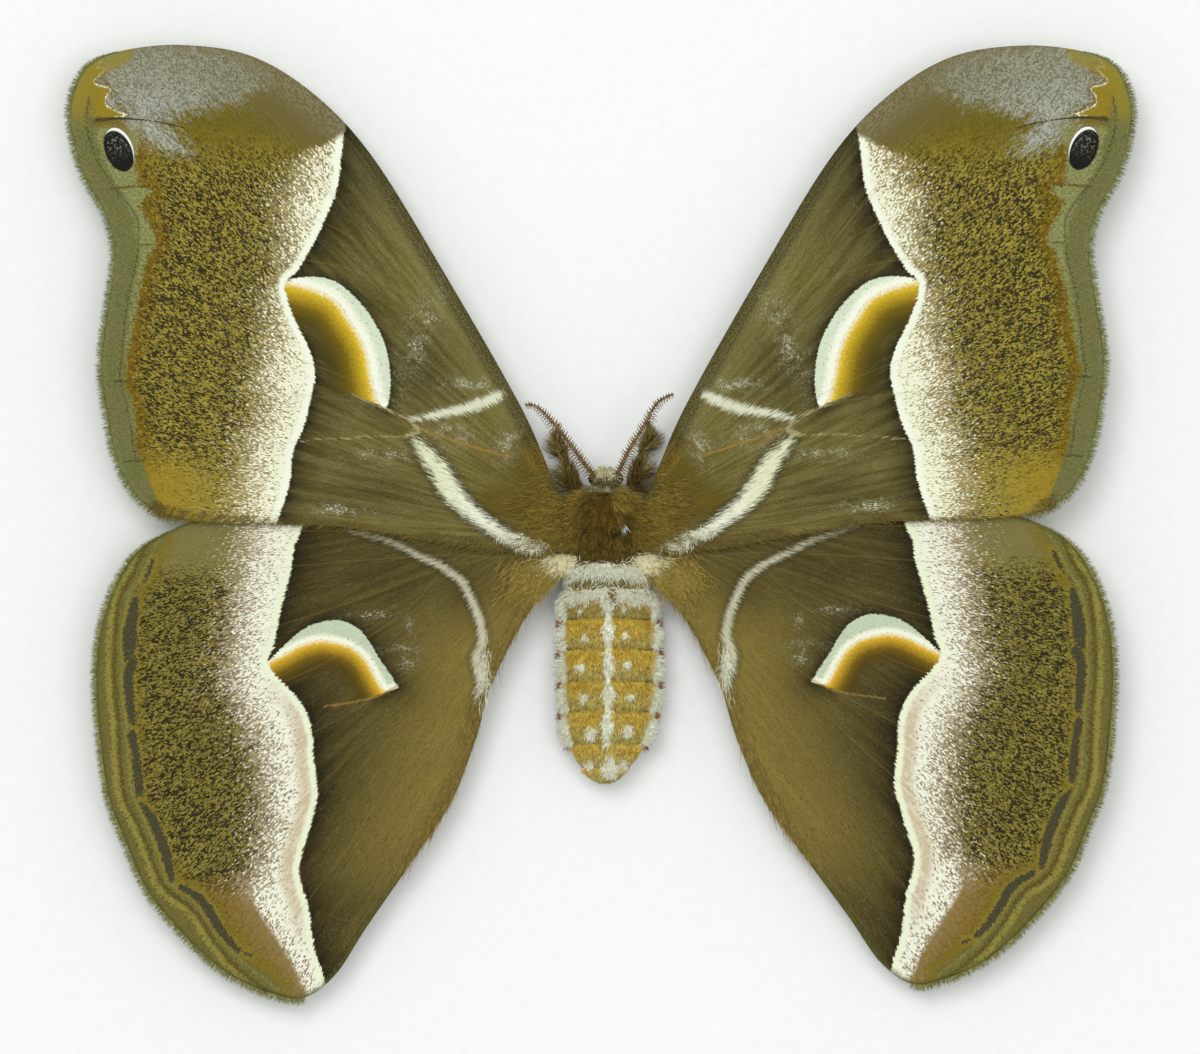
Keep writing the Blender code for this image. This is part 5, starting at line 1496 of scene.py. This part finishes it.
def thorax_coat(draw):
    """The short dense coat of the thorax, longer and lighter towards the wings."""
    coat = Coat(draw)
    share = np.clip(np.sin(draw.uniform(-1.4, 1.4, THORAX_TUFTS)), -0.97, 0.985)
    angle = draw.normal(0, 1.05, THORAX_TUFTS).clip(-2.9, 2.9)
    spots, outs = body_place(thorax_ring, share, angle, -SKIN_DEPTH)
    tint, white = thorax_tint(spots, angle)
    keep = (plan_gap(spots, PIN["place"]) > PIN["radius"]) | (spots[:, 2] < 6)
    spots, outs, tint, white, angle = (a[keep] for a in (spots, outs, tint, white, angle))
    count = len(spots)
    tint = blend(tint, tone(186, 186, 156), white * draw.uniform(0, 1, count))
    front = fade(spots[:, 1], 2.4, 3.4)
    lies = rows(np.sin(angle) * 0.9 + 0.35 * jitter(spots, 21, 1.6), -1 + 1.9 * front, 0.25 * front)
    lies += draw.normal(0, 0.16, lies.shape)
    length = 1.25 + 0.9 * np.abs(np.sin(angle)) * (np.cos(angle) > -0.2)
    length = length * draw.uniform(0.75, 1.2, count) * (1 - 0.35 * front)
    rise = 0.30 * length * draw.uniform(0.6, 1.3, count)
    tint = tint * draw.uniform(0.5, 1.5, (count, 1))
    gleam = (plan_gap(spots, GLEAM["place"]) < GLEAM["radius"]) & (spots[:, 2] > 6)
    tint = np.where(gleam[:, None], tone(186, 204, 200), tint)
    coat.add(spots, outs, lies, (length, 0.11, rise, 0.25), tint, body_map(angle, spots[:, 1]), 0.12)
    count = WAIST_TUFTS
    along, angle = draw.uniform(-4.3, -3.2, count), draw.uniform(-1.6, 1.6, count)
    spots, outs = body_place(waist_ring, along, angle, 0.0)
    tint = tones(draw, "waist", count)
    lies = rows(0.3 * np.sin(angle), -1, 0) + draw.normal(0, 0.2, (count, 3))
    length = 0.75 * draw.uniform(0.7, 1.3, count)
    coat.add(spots, outs, lies, (length, 0.11, 0.3 * length, 0.2), tint, body_map(angle, along))
    return coat.build("coat_thorax")


def abdomen_coat(draw, name, low, high, count):
    """The abdomen's coat between two places along it: flat hair, with white hair standing out of it."""
    coat = Coat(draw)
    y = draw.uniform(low, high, count)
    back = draw.uniform(0, 1, count) < 0.8
    angle = np.where(back, draw.uniform(-1.7, 1.7, count), draw.uniform(1.7, math.tau - 1.7, count))
    angle = (angle + math.pi) % math.tau - math.pi
    spots, outs = body_place(abdomen_ring, y, angle, -SKIN_DEPTH)
    ahead = fade(y, -9.6, -8.8)
    seen = spots - (0.0, 0.25, 0.0) + draw.normal(0, 0.09, (count, 3)) * (1 + 0.9 * ahead[:, None])
    tint, white = abdomen_tint(seen, angle)
    pale = tones(draw, "abdomen", count)
    is_white = white > draw.uniform(0.2, 0.8, count)
    tint = np.where(is_white[:, None], pale, tint)
    tint = tint * np.where(is_white, draw.uniform(0.9, 1.1, count), draw.uniform(0.8, 1.2, count))[:, None]
    lies = rows(0.25 * np.sin(angle), -1, 0)
    lies[:, 0] += 0.25 * jitter(spots, 23, 1.3) + 0.7 * np.sin(angle) * ahead
    lies += draw.normal(0, 0.18, lies.shape) * (np.where(is_white, 2.0, 1.0) * (1 + ahead))[:, None]
    length = np.where(is_white, 0.76, 0.82) * draw.uniform(0.6, 1.25, count)
    length = length * (1 + np.where(is_white, 0.75, 0.3) * ahead)
    rise = length * np.where(is_white, 0.3, 0.15) * draw.uniform(0.6, 1.3, count)
    width = np.where(is_white, 0.12, 0.10)
    coat.add(spots, outs, lies, (length, width, rise, 0.2), tint, body_map(angle, y), 0.12)
    flank_tufts(coat, draw, low, high)
    return coat.build(name)


def flank_tufts(coat, draw, low, high):
    """White hair standing out along the abdomen's sides, with darker bits between its bunches."""
    count = int(FLANK_TUFTS * (high - low))
    side = draw.choice((-1.0, 1.0), count)
    y = draw.uniform(max(low, -25.3), min(high, -8.6), count)
    bunch = fade(np.abs(segment_share(y)[1] - 0.62), 0.5, 0.2)
    dark = draw.uniform(0, 1, count) > 0.1 + 1.15 * bunch
    angle = side * np.where(dark, draw.normal(1.66, 0.08, count), draw.normal(1.36, 0.08, count))
    spots, outs = body_place(abdomen_ring, y, angle, -SKIN_DEPTH)
    lies = rows(0.9 * side, -0.6, -0.15) + draw.normal(0, 0.35, (count, 3))
    length = np.where(side < 0, 1.15, 1.05) * np.where(dark, 1.05, 0.35 + 0.9 * bunch)
    length = length * draw.uniform(0.6, 1.2, count)
    pale, deep = tones(draw, "abdomen", count), tones(draw, "flank", count)
    tint = np.where(dark[:, None], deep, pale)
    rise = 0.3 * length * draw.uniform(0.4, 1.5, count)
    outs = unit(outs + (0.0, 0.0, 1.2))
    coat.add(spots, outs, lies, (length, 0.12, rise, 0.3), tint, body_map(angle, y), 0.15)


def head_coat(draw):
    """The head's coat: pale forward hair, darker hair behind it, a pale collar and a golden lock."""
    coat = Coat(draw)
    ways = unit(draw.normal(size=(HEAD_TUFTS, 3)))
    ways = ways[(ways[:, 2] > -0.75) & ~((np.abs(ways[:, 0]) > 0.62) & (np.abs(ways[:, 2]) < 0.5))]
    half = np.array(HEAD["half"]) - SKIN_DEPTH / 2
    count = len(ways)
    x, y, z = ways.T
    ahead = fade(y + 0.12 * draw.normal(size=count), 0.1, 0.45)
    behind = fade(y + 0.12 * draw.normal(size=count), -0.3, -0.6)
    lies = rows(1.1 * x, -0.3 + 1.0 * ahead, 0.3 * ahead * (z > 0) - 0.5 * ahead * (z < 0))
    lies[:, 0] += 0.9 * np.sign(x) * (1 - ahead) * (1 - behind)
    lies += draw.normal(0, 0.3, lies.shape)
    dark, cream = tones(draw, "head", count), tones(draw, "face", count)
    tint = blend(blend(dark, cream, ahead), tones(draw, "collar", count, 1.4), behind)
    length = (0.75 + 0.15 * ahead) * draw.uniform(0.4, 1.5, count)
    rise = (0.2 + 0.25 * ahead) * length
    spots, places = np.array(HEAD["centre"]) + ways * half, rows(0.5 + x * 0.45, 0.5 + y * 0.45)
    coat.add(spots, unit(ways / half), lies, (length, 0.08, rise, 0.2), tint, places, 0.2)
    for count, share_span, angle_span, way, long, name in COLLARS:
        share, angle = draw.uniform(*share_span, count), draw.uniform(*angle_span, count)
        spots, outs = body_place(thorax_ring, share, angle, -SKIN_DEPTH)
        lies = np.array(way) + rows(0.4 * np.sin(angle), 0, 0) + draw.normal(0, 0.2, (count, 3))
        tint = tones(draw, name, count, 1.3)
        length = long * draw.uniform(0.6, 1.25, count)
        size = (length, 0.09, 0.3 * length, 0.2)
        coat.add(spots, outs, lies, size, tint, body_map(angle, spots[:, 1]), 0.15)
    return coat.build("coat_head")


def leg_coat(draw):
    """Hair along the legs, bushy on the fore pair."""
    coat = Coat(draw)
    for number, ((kind, side_name), (path, radii)) in enumerate(leg_lines().items()):
        bushy = kind == "leg_fore"
        count = LEG_TUFTS if bushy else LEG_TUFTS // 3
        runs, across, upward = frames(path)
        share = draw.uniform(0.05, 0.93, count) if bushy else draw.uniform(0.0, 0.95, count)
        at = share * (len(path) - 1)
        low = at.astype(int)
        part = (at - low)[:, None]
        spot = path[low] * (1 - part) + path[low + 1] * part
        angle = draw.uniform(0, math.tau, count)
        out = across[low] * np.cos(angle)[:, None] + upward[low] * np.sin(angle)[:, None]
        radius = np.interp(at, range(len(path)), radii)[:, None] * LEG_SKIN_SHARE
        lies = runs[low] * (0.75 if bushy else 1.0) + draw.normal(0, 0.3, (count, 3))
        outer = SIDES[side_name] * out[:, 0]
        thick = np.interp(share, *LEG_BULK) * (1 + 0.5 * outer) if bushy else np.full(count, 0.4)
        length = (0.4 + 0.8 * thick) * draw.uniform(0.6, 1.25, count)
        tint = tones(draw, "leg", count)
        chance = np.where(outer > 0.3, 0.42, 0.05) * (share > 0.35) * bushy
        tint = np.where((draw.uniform(0, 1, count) < chance)[:, None], tone(158, 146, 96), tint)
        places = rows(0.02 + 0.96 * share, (number + 0.1 + 0.8 * angle / math.tau) / 6)
        size = (length, 0.09, (0.25 + 0.4 * thick) * length, 0.12)
        coat.add(spot + out * radius, out, lies, size, tint, places, 0.15)
    return coat.build("coat_legs")


def wing_map(flat):
    return rows(0.02 + 0.96 * flat[:, 0] / 62, 0.02 + 0.96 * (flat[:, 1] + 56) / 112)


def upward_ways(count):
    return np.tile((0.0, 0.0, 1.0), (count, 1))


def wing_tufts(coat, kind, side_name, flat, way, length, width, tint, lift):
    """Tufts lying on a wing's upper face along the given ways of its plan, where their roots are on it."""
    on = area(flat, smooth_line(OUTLINE[kind], 0.8, closed=True)) < -RIM_INSET
    flat, way, length, tint = flat[on], way[on], length[on], tint[on]
    u, v = set_place(flat, kind, side_name)
    thick = MEMBRANE + ROOT_THICKENING * np.exp(-((flat[:, 0] / ROOT_REACH) ** 2))
    roots = rows(SIDES[side_name] * u, v, sheet_height(u, v) + SHEET_OFFSET[kind] + thick / 2)
    lies = rows(SIDES[side_name] * way[:, 0], way[:, 1], 0)
    size = (length, width, lift * length, 0.08)
    coat.add(roots, upward_ways(len(flat)), lies, size, tint, wing_map(flat), 0.15)


def fringe(draw, side_name):
    """The short hairs along the wings' margins, and those on the forewing's hind edge."""
    coat = Coat(draw)
    side = SIDES[side_name]
    for kind in ("fore", "hind"):
        loop = inset_loop(smooth_line(OUTLINE[kind], 0.05, closed=True), RIM_INSET + 0.06)
        start, end = (np.argmin(plan_gap(loop, OUTLINE[kind][at])) for at in MARGIN_SPAN[kind])
        line = loop[start:end]
        run = unit(np.gradient(line, axis=0))
        count = FRINGE_TUFTS[kind]
        at = draw.integers(0, len(line), count)
        flat = line[at]
        way = rows(-run[at, 1], run[at, 0])
        inward = unit(np.array([(30.0, 24.0 if kind == "fore" else -24.0)]) - flat)
        way *= -np.sign((way * inward).sum(1, keepdims=True))
        way = way + draw.normal(0, 0.3, way.shape)
        tint = tones(draw, f"fringe_{kind}", count)
        u, v = set_place(flat, kind, side_name)
        roots = rows(side * u, v, sheet_height(u, v) + SHEET_OFFSET[kind])
        lies = rows(side * way[:, 0], way[:, 1], draw.normal(0, 0.12, count))
        length = FRINGE_LENGTH * draw.uniform(0.4, 1.5, count)
        length = length * np.interp(at / len(line), (0, 0.12, 1), (0.2, 1, 1))
        size = (length, 0.07, 0.05 * length, 0.0)
        coat.add(roots, upward_ways(count), lies, size, tint, wing_map(flat), tip=1.0)
    line = smooth_line(OUTLINE["fore"][slice(*FORE_HEM)], 0.05)
    count = HEM_TUFTS
    at = draw.integers(0, len(line), count)
    flat = line[at] + rows(0, draw.uniform(0.1, 1.6, count))
    way = rows(1, draw.normal(-0.5, 0.25, count))
    tint = tones(draw, "hem", count)
    wing_tufts(coat, "fore", side_name, flat, way, 0.9 * draw.uniform(0.5, 1.4, count), 0.06, tint, 0.05)
    return coat.build(f"fringe_{side_name}")


def base_coat(draw, side_name):
    """Long hair over the wing roots and along the hind wing's inner margin, and the white brushes there."""
    coat = Coat(draw)
    side = SIDES[side_name]
    count = SHOULDER_TUFTS
    share = draw.uniform(-0.8, 0.8, count)
    angle = side * draw.uniform(0.55, 1.25, count)
    spots, outs = body_place(thorax_ring, share, angle, -SKIN_DEPTH)
    lies = rows(side * 1.1, -0.25 - 0.8 * share, 0) + draw.normal(0, 0.2, (count, 3))
    tint = tones(draw, "shoulder", count)
    length = 2.6 * draw.uniform(0.55, 1.35, count)
    coat.add(spots, outs, lies, (length, 0.15, 0.22 * length, 0.25), tint, body_map(angle, spots[:, 1]), 0.1)
    for kind, spot, spread, way, count, length, name in BRUSHES:
        flat = np.array(spot) + draw.normal(0, 1, (count, 2)) * spread
        ways = np.array(way) + draw.normal(0, 0.3, (count, 2))
        tint = tones(draw, name, count)
        wing_tufts(coat, kind, side_name, flat, ways, length * draw.uniform(0.6, 1.3, count), 0.08, tint, 0.16)
    inner = smooth_line(OUTLINE["hind"][slice(*INNER_SPAN)], 0.05)
    count = INNER_TUFTS
    at = draw.integers(0, len(inner), count)
    run = unit(np.gradient(inner, axis=0))[at]
    flat = inner[at] + rows(draw.uniform(0.2, 2.0, count), 0)
    ways = rows(0.35 + 0 * at, -1) + draw.normal(0, 0.12, (count, 2)) - run * 0.2
    tint = tones(draw, "inner", count)
    wing_tufts(coat, "hind", side_name, flat, ways, 2.2 * draw.uniform(0.5, 1.3, count), 0.055, tint, 0.1)
    return coat.build(f"coat_wing_base_{side_name}")


def antenna(side_name):
    """A ringed shaft with stout short teeth on its inner side and a comb of finer rays on its outer side."""
    side = SIDES[side_name]
    path = smooth_line(np.array(ANTENNA_PATHS[side_name]) * (side, 1, 1), 0.09)
    share = np.linspace(0, 1, len(path))
    ringed = 1 + 0.10 * np.cos(share * ANTENNA_RAYS * math.tau)
    parts = [tube(path, between(ANTENNA_RADIUS, share) * ringed, 12)]
    runs, across, upward = frames(path)
    draw = np.random.default_rng(31 + side)
    for number in range(ANTENNA_RAYS):
        along = (number + 1.2) / (ANTENNA_RAYS + 0.8)
        at = min(len(path) - 1, int(along * len(path)))
        swell = math.sin(math.pi * (0.27 + 0.65 * along)) ** 0.7
        for way, long, lean, tilt, radius in RAYS:
            turned = across[at] * side * way * math.cos(tilt) + upward[at] * math.sin(tilt)
            out = unit(turned + runs[at] * lean)
            t = np.linspace(0, 1, 5)
            reach = long * swell * draw.uniform(0.8, 1.1)
            line = path[at] + out * reach * t[:, None] + runs[at] * 0.15 * reach * t[:, None] ** 2
            parts.append(tube(line, between((radius, 0.018), t), 5))
    return mesh_object(f"antenna_fine_{side_name}", *joined(parts))


def eye(side_name):
    """A round eye, set into the side of the head."""
    shape = bmesh.new()
    bmesh.ops.create_icosphere(shape, subdivisions=5, radius=EYE_RADIUS)
    points = np.array([tuple(p.co) for p in shape.verts])
    faces = [[p.index for p in f.verts] for f in shape.faces]
    shape.free()
    centre = np.array(EYE_CENTRE) * (SIDES[side_name], 1, 1) + (HEAD["centre"][0], 0, 0)
    return mesh_object(f"eye_lens_{side_name}", points + centre, faces)


def claws():
    """A pair of small hooks at the end of each leg."""
    parts = []
    share = np.linspace(0, 1, 6)
    t = share[:, None]
    for path, _ in leg_lines().values():
        runs, across, _ = frames(path)
        for way in (-1, 1):
            line = path[-1] + runs[-1] * 0.5 * t + across[-1] * way * (0.12 + 0.12 * t) - (0, 0, 0.12) * t**2
            line[:, 2] = np.maximum(0.07, line[:, 2])
            parts.append(tube(line, between((0.07, 0.015), share), 8))
    return mesh_object("claws", *joined(parts))


def stage():
    """A pale floor, soft even light from above, and the camera straight over the part."""
    scene = bpy.context.scene
    scene.world = bpy.data.worlds.new("studio")
    scene.world.use_nodes = True
    sky = scene.world.node_tree.nodes["Background"]
    sky.inputs["Color"].default_value = SKY
    sky.inputs["Strength"].default_value = WORLD_LIGHT
    corners = [(x * FLOOR_REACH, y * FLOOR_REACH, 0) for x, y in ((-1, -1), (1, -1), (1, 1), (-1, 1))]
    floor = mesh_object("floor", corners, [(0, 1, 2), (0, 2, 3)], False)
    paint = Paint("floor_paper", 0.1)
    grain = paint.cloud(paint.place(), 900.0, 3.0)
    paint.colour = paint.mix(grain.step(0.3, 0.7), (255, 255, 255), (251, 253, 251))
    floor.data.materials.append(paint.finish(0.9))
    floor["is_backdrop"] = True
    for name, place, size, power in LAMPS:
        lamp = bpy.data.lights.new(name, "AREA")
        lamp.shape, lamp.size, lamp.energy = "DISK", size, power
        held = add_object(name, lamp)
        held.location = place
        held.rotation_euler = (-Vector(place)).to_track_quat("-Z", "Y").to_euler()
    camera = bpy.data.cameras.new("camera")
    camera.sensor_width = SENSOR
    camera.lens = SENSOR * CAMERA_HEIGHT / VIEW_WIDTH
    camera.clip_start, camera.clip_end = 0.05, 20.0
    held = add_object("camera", camera)
    held.location = (VIEW_CENTRE[0] * MM, VIEW_CENTRE[1] * MM, CAMERA_HEIGHT + VIEW_PLANE * MM)
    scene.camera = held
    scene.view_settings.view_transform = "Standard"


def placed(item, paint, slot, *nodes):
    """Gives a piece its material, and has it replace the nodes that it dresses. Its slot is not used."""
    item.data.materials.append(paint)
    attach(item, "root")
    if nodes:
        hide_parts(*nodes)


def main():
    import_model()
    stage()
    paints = {"fore": fore_paint(), "hind": hind_paint()}
    hair = tinted_paint("coat_hair", 2500.0, 0.7, 0.00002)
    under = tinted_paint("coat_skin", 3500.0, 0.75, 0.00008)
    for kind, paint in paints.items():
        plan = wing_plan(kind)
        fields = wing_fields(kind, plan[0])
        fields["zone"] = shade_fields(kind, plan[0], fields)
        for side_name in SIDES:
            placed(build_wing(kind, side_name, plan, fields), paint, "wing", f"{kind}wing_{side_name}")
    skin = body_skin()
    skin_tint(skin)
    legs = [f"{kind}_{side_name}" for kind in LEG_PATHS for side_name in SIDES]
    placed(skin, under, "coat", "thorax", "abdomen", "head", "palp_left", "palp_right", *legs)
    draw = np.random.default_rng(SEED)
    placed(thorax_coat(draw), hair, "coat")
    ends = np.linspace(*ABDOMEN_SPAN, ABDOMEN_PIECES + 1)
    for number, (high, low) in enumerate(zip(ends[:-1], ends[1:])):
        tufts = abdomen_coat(draw, f"coat_abdomen_{number}", low, high, ABDOMEN_TUFTS // ABDOMEN_PIECES)
        placed(tufts, hair, "abdomen")
    placed(head_coat(draw), hair, "coat")
    placed(leg_coat(draw), hair, "leg")
    horn, lens = antenna_paint(), eye_paint()
    for side_name in SIDES:
        placed(fringe(draw, side_name), hair, "wing")
        placed(base_coat(draw, side_name), hair, "coat")
        placed(antenna(side_name), horn, "antenna", f"antenna_{side_name}")
        placed(eye(side_name), lens, "eye", f"eye_{side_name}")
    placed(claws(), horn, "leg")
    low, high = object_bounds()


main()
